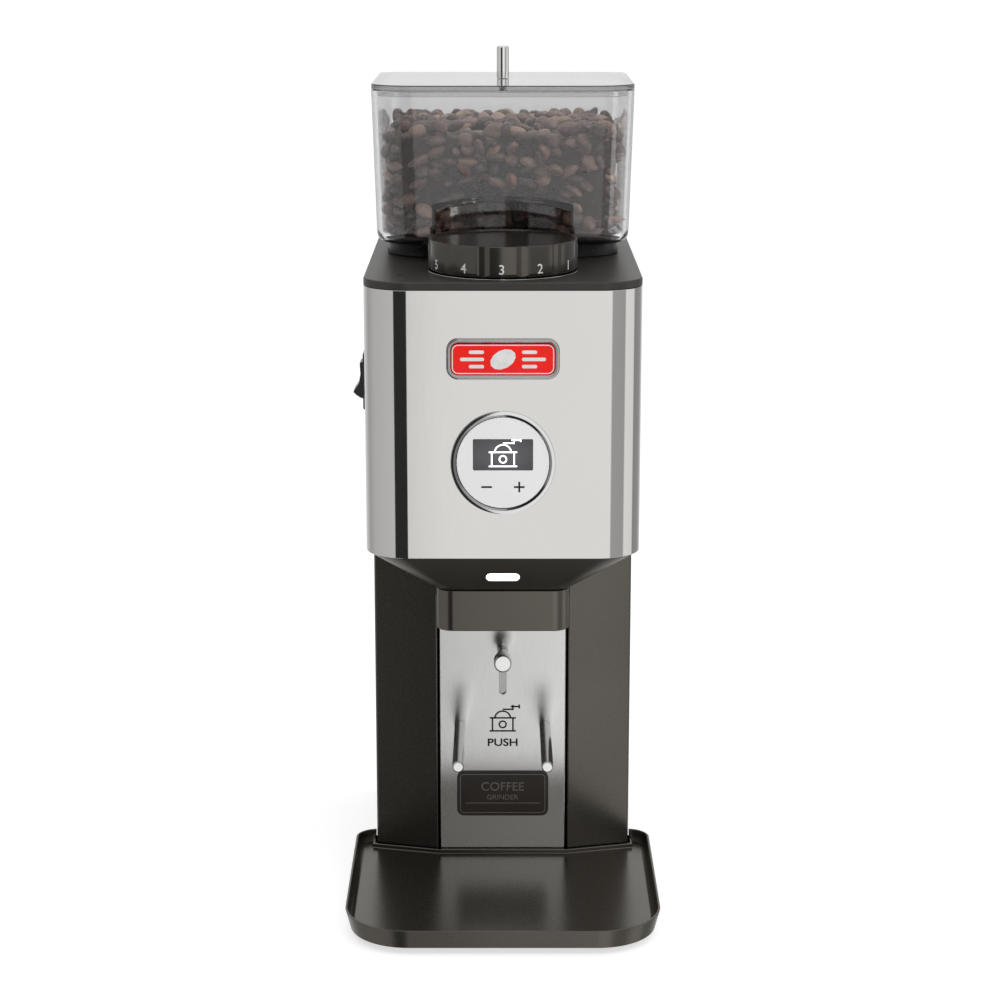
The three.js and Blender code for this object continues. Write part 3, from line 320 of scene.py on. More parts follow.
fineGrain = {"grain": 1200, "cloud": 30, "relief": 0.02, "depth": 0.004 * mm}
printGrain = {"grain": 3000, "cloud": 200, "relief": 0.1, "depth": 0.01 * mm}
clearGrain = {"clear": 1.0, "ior": 1.49, "grain": 700, "cloud": 10, "relief": 0.01, "depth": 0.002 * mm}
looks = {
    "satinMetal": {
        "tones": ((0.118, 0.108, 0.094), (0.134, 0.123, 0.107)), "metallic": 0.92, "roughness": (0.23, 0.29),
        "grain": 3400, "cloud": 14, "relief": 0.012, "depth": 0.004 * mm,
    },
    "noseMetal": {
        "tones": ((0.13, 0.116, 0.1), (0.144, 0.129, 0.111)), "metallic": 0.92, "roughness": (0.22, 0.27),
        "grain": 3400, "cloud": 20, "relief": 0.012, "depth": 0.004 * mm,
    },
    "capPlastic": {
        "tones": ((0.034, 0.031, 0.027), (0.04, 0.037, 0.032)), "roughness": (0.36, 0.44),
        "grain": 3200, "cloud": 25, "relief": 0.2, "depth": 0.02 * mm, "metallic": 0.35,
    },
    "dialPlastic": {
        "tones": ((0.085, 0.078, 0.068), (0.096, 0.088, 0.077)), "roughness": (0.15, 0.19), "metallic": 0.8,
        "grain": 1800, "cloud": 30, "relief": 0.012, "depth": 0.004 * mm,
    },
    "blackPlastic": {
        "tones": ((0.012, 0.012, 0.012), (0.018, 0.018, 0.018)), "roughness": (0.2, 0.3),
        "grain": 2400, "cloud": 40, "relief": 0.15, "depth": 0.02 * mm,
    },
    "mirrorSteel": {
        "tones": ((0.7, 0.69, 0.668), (0.72, 0.71, 0.69)), "metallic": 1.0, "roughness": (0.045, 0.07),
        "grain": 900, "stretch": (1, 1, 0.05), "cloud": 9, "relief": 0.02, "depth": 0.004 * mm,
    },
    "satinSteel": {
        "tones": ((0.76, 0.755, 0.74), (0.79, 0.785, 0.77)), "metallic": 1.0, "roughness": (0.19, 0.23),
        "grain": 1500, "stretch": (1, 1, 0.06), "cloud": 12, "relief": 0.04, "depth": 0.006 * mm,
    },
    "chrome": {
        "tones": ((0.8, 0.8, 0.79), (0.84, 0.84, 0.83)), "metallic": 1.0, "roughness": (0.05, 0.1),
        **fineGrain,
    },
    "plainSteel": {
        "tones": ((0.36, 0.36, 0.355), (0.46, 0.46, 0.45)), "metallic": 1.0, "roughness": (0.28, 0.42),
        "grain": 1400, "cloud": 40, "relief": 0.15, "depth": 0.02 * mm,
    },
    "castMetal": {
        "tones": ((0.38, 0.385, 0.39), (0.48, 0.485, 0.49)), "metallic": 1.0, "roughness": (0.42, 0.6),
        "grain": 900, "cloud": 60, "relief": 0.4, "depth": 0.06 * mm,
    },
    "brass": {
        "tones": ((0.5, 0.36, 0.15), (0.6, 0.44, 0.2)), "metallic": 1.0, "roughness": (0.22, 0.34),
        "grain": 1200, "cloud": 50, "relief": 0.1, "depth": 0.02 * mm,
    },
    "windingCopper": {
        "tones": ((0.28, 0.1, 0.035), (0.42, 0.17, 0.06)), "metallic": 0.7, "roughness": (0.3, 0.45),
        "grain": 500, "stretch": (1, 1, 6), "cloud": 80, "relief": 0.6, "depth": 0.2 * mm,
    },
    "rubber": {
        "tones": ((0.012, 0.012, 0.012), (0.022, 0.022, 0.022)), "roughness": (0.75, 0.9),
        "grain": 1600, "cloud": 60, "relief": 0.4, "depth": 0.05 * mm,
    },
    "smokedClear": {
        "tones": ((0.7, 0.7, 0.705), (0.72, 0.72, 0.725)), "roughness": (0.01, 0.03),
        "coat": 0.4, "coatRoughness": 0.02, **clearGrain,
    },
    "paleFace": {
        "tones": ((0.72, 0.72, 0.725), (0.76, 0.76, 0.765)), "roughness": (0.3, 0.38),
        "grain": 2600, "cloud": 30, "relief": 0.08, "depth": 0.01 * mm,
    },
    "redEnamel": {
        "tones": ((0.76, 0.014, 0.009), (0.8, 0.019, 0.012)), "roughness": (0.35, 0.42), "specular": 0.12,
        "grain": 1500, "cloud": 60, "relief": 0.06, "depth": 0.01 * mm,
    },
    "paleInk": {
        "tones": ((0.62, 0.62, 0.61), (0.7, 0.7, 0.69)), "roughness": (0.4, 0.5),
        **printGrain,
    },
    "darkInk": {
        "tones": ((0.012, 0.011, 0.01), (0.018, 0.017, 0.016)), "roughness": (0.6, 0.7), "specular": 0.1,
        **printGrain,
    },
    "nameplate": {
        "tones": ((0.028, 0.023, 0.02), (0.036, 0.03, 0.026)), "roughness": (0.3, 0.38), "metallic": 0.3,
        "grain": 2400, "cloud": 60, "relief": 0.15, "depth": 0.02 * mm,
    },
    "nameplateLine": {
        "tones": ((0.2, 0.185, 0.17), (0.24, 0.22, 0.2)), "roughness": (0.35, 0.45), "metallic": 0.6,
        **printGrain,
    },
    # Painted shade: chrome dimmed well below the plain chrome, standing in for the darker reflections on the
    # pins, peg, shutter, badge frame and dial ring.
    "shadedChrome": {
        "tones": ((0.4, 0.4, 0.39), (0.45, 0.45, 0.44)), "metallic": 1.0, "roughness": (0.12, 0.18),
        **fineGrain,
    },
    "displayRing": {
        "tones": ((0.74, 0.74, 0.74), (0.78, 0.78, 0.78)), "metallic": 1.0, "roughness": (0.05, 0.08),
        **fineGrain,
    },
    # Painted shade: a darker copy of the bezel chrome for the display's inner slope, giving the dark ring
    # round its face.
    "bezelShadeChrome": {
        "tones": ((0.34, 0.34, 0.335), (0.38, 0.38, 0.375)), "metallic": 1.0, "roughness": (0.08, 0.12),
        **fineGrain,
    },
    "chinMetal": {
        "tones": ((0.09, 0.082, 0.071), (0.102, 0.093, 0.081)), "metallic": 0.85, "roughness": (0.3, 0.36),
        "grain": 2600, "cloud": 20, "relief": 0.15, "depth": 0.02 * mm,
    },
    "smokedLid": {
        "tones": ((0.7, 0.7, 0.705), (0.72, 0.72, 0.725)), "roughness": (0.01, 0.03),
        **clearGrain,
    },
    # Painted shade: a darker copy of the smoked lid plastic for the lid plate's edge faces.
    "lidEdgeShade": {
        "tones": ((0.3, 0.3, 0.305), (0.34, 0.34, 0.345)), "roughness": (0.03, 0.06),
        **clearGrain,
    },
    # Painted shade: a near-black bean tone for the solid core that stands in for the shade deep inside the
    # bean pile.
    "beanShadeDark": {
        "tones": ((0.02, 0.01, 0.007), (0.035, 0.016, 0.011)), "roughness": (0.6, 0.8),
        "grain": 500, "cloud": 200, "relief": 0.6, "depth": 0.4 * mm,
    },
    "circuitBoard": {
        "tones": ((0.01, 0.07, 0.03), (0.02, 0.12, 0.05)), "roughness": (0.4, 0.55), "coat": 0.3,
        "grain": 900, "cloud": 150, "relief": 0.3, "depth": 0.05 * mm,
    },
}
made = {name: surface(name, look) for name, look in looks.items()}
print("materials made:", len(made))

# Base, tray and column

footShape = {"flange": 1.2 * mm, "groove": 0.5 * mm}


def makeFeet():
    for name in [n for n in nodes if n.startswith("foot_")]:
        low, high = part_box(name)
        radius = (high.x - low.x) / 2
        tall = high.z - low.z
        soft = footShape["flange"] * 0.6
        ring = footShape["groove"]
        profile = [
            (0, 0), (radius * 0.45, 0), (radius * 0.5, ring), (radius * 0.6, ring), (radius * 0.65, 0),
            (radius - soft, 0), (radius - soft * 0.3, soft * 0.3), (radius, soft), (radius, tall), (0, tall),
        ]
        centre = (low + high) / 2
        finish(
            name + "_pad", moved(turned(profile), (centre.x, centre.y, low.z)), made["rubber"],
            "stand", [name],
        )


trayShape = {
    "lean": 2.5 * mm, "wall": 1.3 * mm, "frontRadius": 31 * mm, "rearRadius": 11 * mm, "floor": 7.6 * mm,
    "fillet": 2.2 * mm, "underside": 6.3 * mm, "columnGap": 0.9 * mm, "upstand": 1.3 * mm,
    "upstandRise": 2.2 * mm, "steps": 24,
}


# The column seen from above, grown by a margin; it runs on behind the column.
def columnCorners(margin):
    column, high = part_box("column_shell")
    half = high.x + margin
    inner = columnShape["opening"] / 2
    slope = columnShape["cornerDepth"] / (high.x - inner)
    front = column.y - margin * math.hypot(1, slope)
    corner = front + (half - inner) * slope
    back = high.y + 0.1
    return [(-inner, front), (inner, front), (half, corner), (half, back), (-half, back), (-half, corner)]


def makeTray():
    low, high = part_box("ground_tray")
    s = trayShape

    def layer(z, extra=0.0):
        inset = s["lean"] * (high.z - z) / (high.z - low.z) + extra
        return (
            plan(low.x, high.x, low.y, high.y, s["frontRadius"], s["rearRadius"], inset, s["steps"]), z,
        )

    dishLayers = []
    for step in range(6):
        turn = math.pi / 2 * step / 5
        rise = s["fillet"] * (1 - math.cos(turn))
        dishLayers.append(layer(s["floor"] + rise, s["wall"] + s["fillet"] * (1 - math.sin(turn))))
    dishLayers.append(layer(high.z + mm, s["wall"]))
    upstand = prism(columnCorners(s["columnGap"] + s["upstand"]), 0, s["floor"] + s["upstandRise"])
    dish = combined(loft(dishLayers), [upstand])
    underside = loft([layer(low.z - mm, s["wall"]), layer(s["underside"], s["wall"])])
    hole = prism(columnCorners(s["columnGap"]), -mm, high.z + 2 * mm)
    body = combined(loft([layer(low.z), layer(high.z)]), [dish, underside, hole])
    finish("tray", body, made["satinMetal"], "tray", ["ground_tray"], edge=0.35 * mm)


columnShape = {
    "opening": 65.2 * mm, "cornerDepth": 8 * mm, "recess": 7.5 * mm, "sheet": 1.6 * mm, "fold": 11 * mm,
    "bend": 0.9 * mm, "studHoles": (40 * mm, 122.5 * mm), "studHole": 2.9 * mm,
}
screwHoles = {"x": 58.1 * mm, "low": 16 * mm, "high": 292.7 * mm, "radius": 1.8 * mm}


def rearScrewCutters():
    s = screwHoles
    return [
        forward(rod(s["radius"], 0, 60 * mm, 24), side * s["x"], 0.125, z)
        for side in (-1, 1) for z in (s["low"], s["high"])
    ]


def makeColumn():
    low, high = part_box("column_shell")
    s = columnShape
    half = high.x
    opening = s["opening"] / 2
    path = [
        (-half + s["fold"], high.y), (-half, high.y), (-half, low.y + s["cornerDepth"]), (-opening, low.y),
        (-opening, low.y + s["recess"]), (opening, low.y + s["recess"]), (opening, low.y),
        (half, low.y + s["cornerDepth"]), (half, high.y), (half - s["fold"], high.y),
    ]
    bm = bmesh.new()
    verts = [bm.verts.new((x, y, low.z)) for x, y in path]
    edges = [bm.edges.new(pair) for pair in zip(verts, verts[1:])]
    raised = bmesh.ops.extrude_edge_only(bm, edges=edges)
    top = [v for v in raised["geom"] if isinstance(v, bmesh.types.BMVert)]
    bmesh.ops.translate(bm, verts=top, vec=(0, 0, high.z - low.z))
    bends = [e for e in bm.edges if abs(e.verts[0].co.z - e.verts[1].co.z) > mm and len(e.link_faces) == 2]
    bmesh.ops.bevel(
        bm, geom=bends, offset=s["bend"], offset_type="OFFSET", segments=5, profile=0.5,
        affect="EDGES", material=-1, clamp_overlap=True,
    )
    bmesh.ops.recalc_face_normals(bm, faces=bm.faces)
    outward = max(bm.faces, key=lambda f: f.calc_center_median().x)
    if outward.normal.x < 0:
        bmesh.ops.reverse_faces(bm, faces=bm.faces)
    bmesh.ops.solidify(bm, geom=bm.faces, thickness=s["sheet"])
    studs = [
        forward(rod(s["studHole"], 0, 20 * mm, 32), 0, low.y + s["recess"] + 10 * mm, z)
        for z in s["studHoles"]
    ]
    body = combined(bm, studs + rearScrewCutters())
    finish("column", body, made["satinMetal"], "stand", ["column_shell"], edge=0.2 * mm)


# Push plate, fork, hook and nameplate

plateShape = {
    "corner": 0.8 * mm, "thickness": 1.5 * mm, "slotWidth": 3.5 * mm, "slotLow": 91.5 * mm,
    "slotHigh": 116.75 * mm, "studRadius": 2.2 * mm, "pinHole": 1.8 * mm,
}
markShape = {
    "bottom": 71.9 * mm, "width": 13.2 * mm, "line": 0.8 * mm, "proud": 0.05 * mm, "word": 3.7 * mm,
    "wordDepth": 0.15 * mm, "wordBold": 0.12 * mm, "wordDrop": 5.6 * mm, "wordWiden": 1.22,
}


# A flat piece standing in the X-Z plane, from a front Y to a back Y, with rounded corners.
def panel(left, right, low, high, front, back, radius=0.0, steps=8):
    outline = plan(left, right, low, high, radius, radius, 0, steps)
    return moved(loft([(outline, -back), (outline, -front)]), turn=(math.pi / 2, "X"))


# A flat ring facing -Y.
def flatRing(inner, outer, front, back, x=0.0, z=0.0, steps=64):
    profile = [(inner, 0), (outer, 0), (outer, back - front), (inner, back - front)]
    return forward(turned(profile, steps, closed=True), x, back, z)


# The line drawing of a small hand grinder: box, dome, crank and a round window.
def grinderMark(bottom, width, line, front, back):
    half = width * 0.42
    tall = width * 0.46
    wide = width * 0.5
    floor = bottom + line
    roof = bottom + line + tall
    dome = width * 0.27
    arm = roof + dome + line * 1.2
    grip = arm + width * 0.11
    parts = [
        panel(-wide, wide, bottom, floor, front, back),
        panel(-wide, wide, roof, roof + line, front, back),
        panel(-half, -half + line, floor, roof, front, back),
        panel(half - line, half, floor, roof, front, back),
        flatRing(width * 0.1, width * 0.1 + line, front, back, 0, (floor + roof) / 2),
        panel(0, width * 0.36, arm, arm + line, front, back),
        panel(width * 0.36, width * 0.36 + line, arm, grip + line * 1.6, front, back),
        panel(width * 0.3, width * 0.6, grip, grip + line, front, back),
        panel(width * 0.6, width * 0.6 + line, grip - line * 0.8, grip + line * 1.8, front, back),
    ]
    arch = flatRing(dome, dome + line, front, back, 0, roof)
    below = [v for v in arch.verts if v.co.z < roof - line * 0.2]
    bmesh.ops.delete(arch, geom=below, context="VERTS")
    bmesh.ops.holes_fill(arch, edges=[e for e in arch.edges if e.is_boundary], sides=4)
    return merged(*parts, arch)


def makePushPlate():
    low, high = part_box("push_plate")
    s = plateShape
    front = low.y
    back = front + s["thickness"]
    slotHalf = s["slotWidth"] / 2
    sheet = panel(low.x, high.x, low.z, high.z, front, back, s["corner"], 4)
    slot = panel(-slotHalf, slotHalf, s["slotLow"], s["slotHigh"], front - mm, back + mm, slotHalf * 0.999,
                 10)
    middles = [sum(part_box(name), Vector()) / 2 for name in ("fork_pin_left", "fork_pin_right")]
    holes = [forward(rod(s["pinHole"], 0, 4 * mm, 32), c.x, back + mm, c.z) for c in middles]
    body = combined(sheet, [slot, *holes])
    studs = [
        forward(rod(s["studRadius"], 0, high.y - back + 0.4 * mm, 32), 0, high.y, z)
        for z in columnShape["studHoles"]
    ]
    body = join(body, *studs)
    finish("pushPlate", body, made["satinSteel"], "plate", ["push_plate"], edge=0.2 * mm)
    m = markShape
    mark = grinderMark(m["bottom"], m["width"], m["line"], front - m["proud"], front + 0.1 * mm)
    finish("plateMark", mark, made["darkInk"], "plate")
    word = moved(lettering("PUSH", m["word"], m["wordDepth"], m["wordBold"]),
                 (0, front, m["bottom"] - m["wordDrop"]))
    bmesh.ops.scale(word, verts=word.verts, vec=(m["wordWiden"], 1, 1))
    finish("plateWord", word, made["darkInk"], "plate")


nameplateShape = {
    "corner": 3.6 * mm, "frame": 0.35 * mm, "inset": 1.5 * mm, "proud": 0.12 * mm, "line": 0.28,
    "words": [("COFFEE", 4.4 * mm, 0.66), ("GRINDER", 2.6 * mm, 0.42)],
}


def makeNameplate():
    low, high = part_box("nameplate")
    s = nameplateShape
    body = panel(low.x, high.x, low.z, high.z, low.y, high.y, s["corner"], 10)
    finish("nameplateBody", body, made["nameplate"], "plate", ["nameplate"], edge=0.25 * mm,
           edgeSteps=3)
    front = low.y - s["proud"]
    inset = s["inset"]
    outer = panel(low.x + inset, high.x - inset, low.z + inset, high.z - inset, front, low.y + s["proud"],
                  s["corner"] - inset, 8)
    grown = inset + s["frame"]
    inner = panel(low.x + grown, high.x - grown, low.z + grown, high.z - grown, front - mm, low.y + mm,
                  s["corner"] - grown, 8)
    frameBar = combined(outer, [inner])
    middle = low.z + (high.z - low.z) * s["line"]
    rule = panel(low.x + 4 * mm, high.x - 4 * mm, middle, middle + s["frame"], front, low.y + s["proud"])
    finish("nameplateLines", merged(frameBar, rule), made["nameplateLine"], "plate")
    for index, (word, size, share) in enumerate(s["words"]):
        text = moved(lettering(word, size, 0.2 * mm), (0, low.y, low.z + (high.z - low.z) * share))
        finish("nameplateWord%d" % (index + 1), text, made["nameplateLine"], "plate")


forkShape = {
    "stud": 1.5 * mm, "plateGap": 0.3 * mm, "neck": 2.7 * mm, "cone": 15.75 * mm,
    "grooves": (1.5 * mm, 4.5 * mm), "faceHeight": 0.2 * mm, "faceBack": 0.16 * mm,
}
shutterShape = {"half": 3 * mm, "low": 86 * mm, "high": 117 * mm, "thickness": 0.4 * mm, "corner": 0.5 * mm}


def makeForkAndHook():
    s = forkShape
    stud = s["stud"]
    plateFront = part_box("push_plate")[0].y
    for name in ("fork_pin_left", "fork_pin_right"):
        low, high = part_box(name)
        radius = (high.x - low.x) / 2
        middle = (low + high) / 2
        rise = plateFront - low.y - s["plateGap"]
        profile = [
            (0, 0), (radius - 0.75 * mm, 0), (radius - 0.6 * mm, 0.1 * mm), (radius - 0.1 * mm, 0.5 * mm),
            (radius, 0.8 * mm), (radius, rise), (stud, rise), (stud, high.y - low.y), (0, high.y - low.y),
        ]
        pin = moved(turned(profile, 48), (middle.x, low.y, middle.z), (-math.pi / 2, "X"))
        # The pin's rod in the dimmed chrome, painted shade for the dark reflection above it; its end face
        # keeps the plain chrome.
        finish(name + "_rod", pin, made["shadedChrome"], "plate", [name])
        face = forward(rod(radius - 0.7 * mm, 0, s["faceHeight"]), middle.x, low.y + s["faceBack"], middle.z)
        finish(name + "_face", face, made["chrome"], "plate")
    low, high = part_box("hook_peg")
    head = (high.x - low.x) / 2
    neck = s["neck"]
    length = plateFront - low.y - s["plateGap"]

    def groove(at):
        return [
            (neck, at), (neck - 0.15 * mm, at + 0.12 * mm), (neck - 0.75 * mm, at + 0.3 * mm),
            (neck - 0.75 * mm, at + 1.2 * mm), (neck - 0.15 * mm, at + 1.38 * mm), (neck, at + 1.5 * mm),
        ]

    cone = s["cone"]
    first, second = (groove(cone + step) for step in s["grooves"])
    profile = [
        (0, 0), (head - 0.7 * mm, 0), (head - 0.3 * mm, 0.14 * mm), (head - 0.06 * mm, 0.4 * mm),
        (head, 0.8 * mm), (head, 6.7 * mm), (head - 0.1 * mm, 7.1 * mm), (neck + 0.2 * mm, cone - 0.6 * mm),
        (neck, cone), *first, *second, (neck, length), (stud, length), (stud, high.y - low.y),
        (0, high.y - low.y),
    ]
    peg = moved(turned(profile, 48), (0, low.y, (low.z + high.z) / 2), (-math.pi / 2, "X"))
    # The peg in the dimmed chrome: painted shade on its reflections.
    finish("hookPeg", peg, made["shadedChrome"], "hook", ["hook_peg"])
    face = forward(rod(head - 0.8 * mm, 0, s["faceHeight"]), 0, low.y + s["faceBack"], (low.z + high.z) / 2)
    finish("hookFace", face, made["chrome"], "hook")
    cover = shutterShape
    back = plateFront + plateShape["thickness"] + 0.05 * mm
    shutter = panel(-cover["half"], cover["half"], cover["low"], cover["high"], back,
                    back + cover["thickness"], cover["corner"], 3)
    # The shutter in the dimmed chrome: painted shade on its reflections.
    finish("slotShutter", shutter, made["shadedChrome"], "hook")


# Nose, chin and light bar

noseShape = {"radius": 8 * mm, "wall": 2 * mm, "chuteHole": 11.6 * mm, "chuteY": -36 * mm}


def makeNose():
    low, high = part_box("nose_cover")
    s = noseShape
    outer = plan(low.x, high.x, low.y, high.y, s["radius"], 0, 0, 14)
    back = plan(low.x + s["wall"], high.x - s["wall"], low.y + s["wall"], high.y + 5 * mm,
                s["radius"] - s["wall"], 0, 0, 14)
    hollow = loft([(back, low.z + s["wall"]), (back, high.z + 5 * mm)])
    hole = moved(rod(s["chuteHole"], 0, 0.3, 64), (0, s["chuteY"], 0))
    body = combined(loft([(outer, low.z), (outer, high.z)]), [hollow, hole])
    finish("nose", body, made["noseMetal"], "stand", ["nose_cover"], edge=0.6 * mm,
           edgeSteps=3)


chinShape = {
    "noseHalf": 31.4 * mm, "bodyHalf": 63.3 * mm, "noseFront": -60.9 * mm, "bodyFront": -77.7 * mm,
    "noseRadius": 8 * mm, "bodyRadius": 19.7 * mm, "power": 0.8, "wall": 2 * mm, "layers": 14,
    "lampWidth": 15.3 * mm, "lampHeight": 4 * mm, "lampZ": 170.2 * mm, "lampGap": 0.25 * mm,
    "lampBack": -56.5 * mm, "chuteHole": 17 * mm,
}


def chinPlan(rise, inset):
    s = chinShape
    reach = rise ** s["power"]

    def between(a, b, share):
        return a + (b - a) * share

    half = between(s["noseHalf"], s["bodyHalf"], rise)
    front = between(s["noseFront"], s["bodyFront"], reach)
    radius = between(s["noseRadius"], s["bodyRadius"], reach)
    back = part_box("column_shell")[0].y + columnShape["cornerDepth"] + 2 * mm
    return {
        **plan(-half, half, front, back, radius, 0, 0, 16), "left": -half + inset, "right": half - inset,
        "front": front + inset, "frontRadius": radius - inset,
    }


def chinForm(inset, lift, top=None):
    low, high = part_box("chin_fascia")
    count = chinShape["layers"]
    layers = [
        (chinPlan(i / count, inset), low.z + (high.z - low.z) * i / count + lift) for i in range(count + 1)
    ]
    if top:
        layers.append((chinPlan(1, inset), top))
    return loft(layers)


def lampOutline(grow, front, back):
    s = chinShape
    half = s["lampWidth"] / 2 + grow
    tall = s["lampHeight"] / 2 + grow
    return panel(-half, half, s["lampZ"] - tall, s["lampZ"] + tall, front, back, tall * 0.998, 12)


def makeChin():
    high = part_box("chin_fascia")[1]
    s = chinShape
    column = prism(columnCorners(0.3 * mm), 0, high.z + 10 * mm)
    hole = moved(rod(s["chuteHole"], 0, 0.3, 48), (0, noseShape["chuteY"], 0))
    hollow = chinForm(s["wall"], s["wall"], high.z + 8 * mm)
    body = combined(chinForm(0, 0), [hollow, column, hole, lampOutline(s["lampGap"], -0.12, -0.05)])
    finish("chin", body, made["chinMetal"], "stand", ["chin_fascia"], edge=0.3 * mm,
           sharpAngle=38)
    lens = combined(chinForm(-0.12 * mm, 0), [lampOutline(0, -0.12, -0.05)], "INTERSECT")
    behind = block((-0.02, s["lampBack"], 0.15), (0.02, 0, 0.2))
    lens = combined(lens, [behind])
    finish("lightBar", lens, lampLook, "stand", ["status_lens"], edge=0.2 * mm, sharpAngle=38)


# Casing, cap, cover and rear fittings

casingShape = {
    "radius": 20.5 * mm, "wall": 1.2 * mm, "window": 11 * mm, "displayHole": 22.5 * mm, "steps": 28,
    "rockerHole": (18 * mm, 23 * mm),
}


def makeCasing():
    low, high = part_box("body_casing")
    s = casingShape
    outer = plan(low.x, high.x, low.y, high.y, s["radius"], 0, 0, s["steps"])
    inner = plan(low.x, high.x, low.y, high.y, s["radius"], 0, s["wall"], s["steps"])
    solid = loft([(outer, low.z), (outer, high.z)])
    hollow = loft([(inner, low.z - mm), (inner, high.z + mm)])
    window = block((low.x + s["window"], high.y - 5 * mm, low.z - mm),
                   (high.x - s["window"], high.y + 5 * mm, high.z + mm))
    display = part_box("display_face")
    hole = forward(rod(s["displayHole"], 0, 10 * mm, 96), 0, low.y + 5 * mm,
                   (display[0].z + display[1].z) / 2)
    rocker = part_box("switch_housing")
    centre = (rocker[0] + rocker[1]) / 2
    wide, tall = s["rockerHole"]
    socket = block((low.x - 5 * mm, centre.y - wide / 2, centre.z - tall / 2),
                   (low.x + 5 * mm, centre.y + wide / 2, centre.z + tall / 2))
    body = combined(solid, [hollow, window, hole, socket, *rearScrewCutters()])
    finish("casing", body, made["mirrorSteel"], "stand", ["body_casing"], edge=0.2 * mm)


capShape = {
    "radius": 20.5 * mm, "lip": 4 * mm, "skirt": 1.5 * mm, "soft": 0.9 * mm, "wall": 2.5 * mm,
    "spindle": 5.5 * mm, "neck": 26.5 * mm, "recess": (-47.1 * mm, -53.5 * mm, 1.8 * mm), "steps": 28,
    "recessDepth": 1.4 * mm, "cross": (1.1 * mm, 0.2 * mm),
}


def makeCap():
    low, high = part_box("top_cap")
    s = capShape
    ledge = low.z + s["lip"]

    def at(inset, z):
        return (plan(low.x, high.x, low.y, high.y, s["radius"], 0, inset, s["steps"]), z)

    soft = s["soft"]
    turns = (0, 0.4, 0.8, 1.2, math.pi / 2)
    edge = [at(soft * (1 - math.cos(t)), high.z - soft * (1 - math.sin(t))) for t in turns]
    solid = join(loft([at(0, ledge), *edge]), loft([at(s["skirt"], low.z), at(s["skirt"], ledge + mm)]))
    hollow = loft([at(s["skirt"] + 2 * mm, low.z - mm), at(s["skirt"] + 2 * mm, high.z - s["wall"])])
    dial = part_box("grind_dial")
    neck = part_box("upper_burr_carrier")
    spindle = moved(rod(s["spindle"], 0.29, 0.33, 48), (0, (dial[0].y + dial[1].y) / 2, 0))
    throat = moved(rod(s["neck"], 0.29, 0.33, 96), (0, (neck[0].y + neck[1].y) / 2, 0))
    x, y, radius = s["recess"]
    recess = moved(rod(radius, high.z - s["recessDepth"], high.z + mm, 32), (x, y, 0))
    body = combined(solid, [hollow, spindle, throat, recess])
    finish("cap", body, made["capPlastic"], "stand", ["top_cap"], edge=0.15 * mm)
    slotted = turned([(0, 0), (radius - 0.25 * mm, 0), (radius - 0.4 * mm, 0.5 * mm), (0, 0.6 * mm)], 32)
    moved(slotted, (x, y, high.z - 1.35 * mm))
    long, thin = s["cross"]
    cross = [
        block((x - wide, y - deep, high.z - long), (x + wide, y + deep, high.z))
        for wide, deep in ((long, thin), (thin, long))
    ]
    finish("capScrew", combined(slotted, cross), made["plainSteel"], "stand")


coverShape = {
    "corner": 3 * mm, "ventHalf": 28 * mm, "ventTall": 3.5 * mm, "ventFirst": 205 * mm, "ventPitch": 9 * mm,
    "vents": 6, "socketZ": 44 * mm, "socketWidth": 30 * mm, "socketHeight": 23 * mm,
    "cross": (1.9 * mm, 0.3 * mm),
}


def makeRear():
    low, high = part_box("rear_cover")
    s = coverShape
    front = low.y - mm
    back = high.y + mm
    sheet = panel(low.x, high.x, low.z, high.z, low.y, high.y, s["corner"], 6)
    cuts = []
    for index in range(s["vents"]):
        z = s["ventFirst"] + index * s["ventPitch"]
        half = s["ventTall"] / 2
        cuts.append(panel(-s["ventHalf"], s["ventHalf"], z - half, z + half, front, back, half * 0.999, 8))
    wide = s["socketWidth"] / 2
    tall = s["socketHeight"] / 2
    cuts.append(panel(-wide, wide, s["socketZ"] - tall, s["socketZ"] + tall, front, back, 3 * mm, 5))
    body = combined(sheet, [*cuts, *rearScrewCutters()])
    finish("rearCover", body, made["satinMetal"], "stand", ["rear_cover"], edge=0.3 * mm)
    finish("mainsInlet", refined("mains_inlet"), made["blackPlastic"], "stand",
           ["mains_inlet"], edge=0.3 * mm)
    for index in range(1, 5):
        name = "rear_screw_%d" % index
        low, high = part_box(name)
        radius = (high.x - low.x) / 2
        length = high.y - low.y
        profile = [
            (0, 0), (radius * 0.5, 0.05 * mm), (radius * 0.8, 0.3 * mm), (radius * 0.97, 0.8 * mm),
            (radius, 1.2 * mm), (radius, 1.3 * mm), (1.5 * mm, 1.3 * mm), (1.5 * mm, length - 0.6 * mm),
            (0.9 * mm, length), (0, length),
        ]
        screw = turned(profile, 48)
        long, thin = s["cross"]
        cross = [block((-x, -y, -mm), (x, y, 0.9 * mm)) for x, y in ((long, thin), (thin, long))]
        cut = forward(combined(screw, cross), (low.x + high.x) / 2, high.y, (low.z + high.z) / 2)
        finish("rearScrew%d" % index, cut, made["plainSteel"], "stand", [name],
               edge=0.08 * mm)


# Rocker switch

def makeRocker():
    finish("rockerFrame", refined("switch_housing"), made["blackPlastic"], "stand",
           ["switch_housing"], edge=0.4 * mm, edgeSteps=3)
    finish("rockerPaddle", refined("switch_paddle"), made["blackPlastic"], "rocker",
           ["switch_paddle"], edge=0.45 * mm, edgeSteps=3, sharpAngle=24)


# Display

displayShape = {
    "keyX": 7.5 * mm, "keyZ": -11.3 * mm, "keyWidth": 4.9 * mm, "keyLine": 0.85 * mm,
    "screenCorner": 0.6 * mm, "screenRise": 3.8 * mm, "screenWidth": 27.6 * mm, "screenHeight": 14.7 * mm,
    "paneGap": 0.1 * mm, "iconRise": 1.6 * mm, "iconWidth": 13 * mm, "iconLine": 0.62 * mm,
}


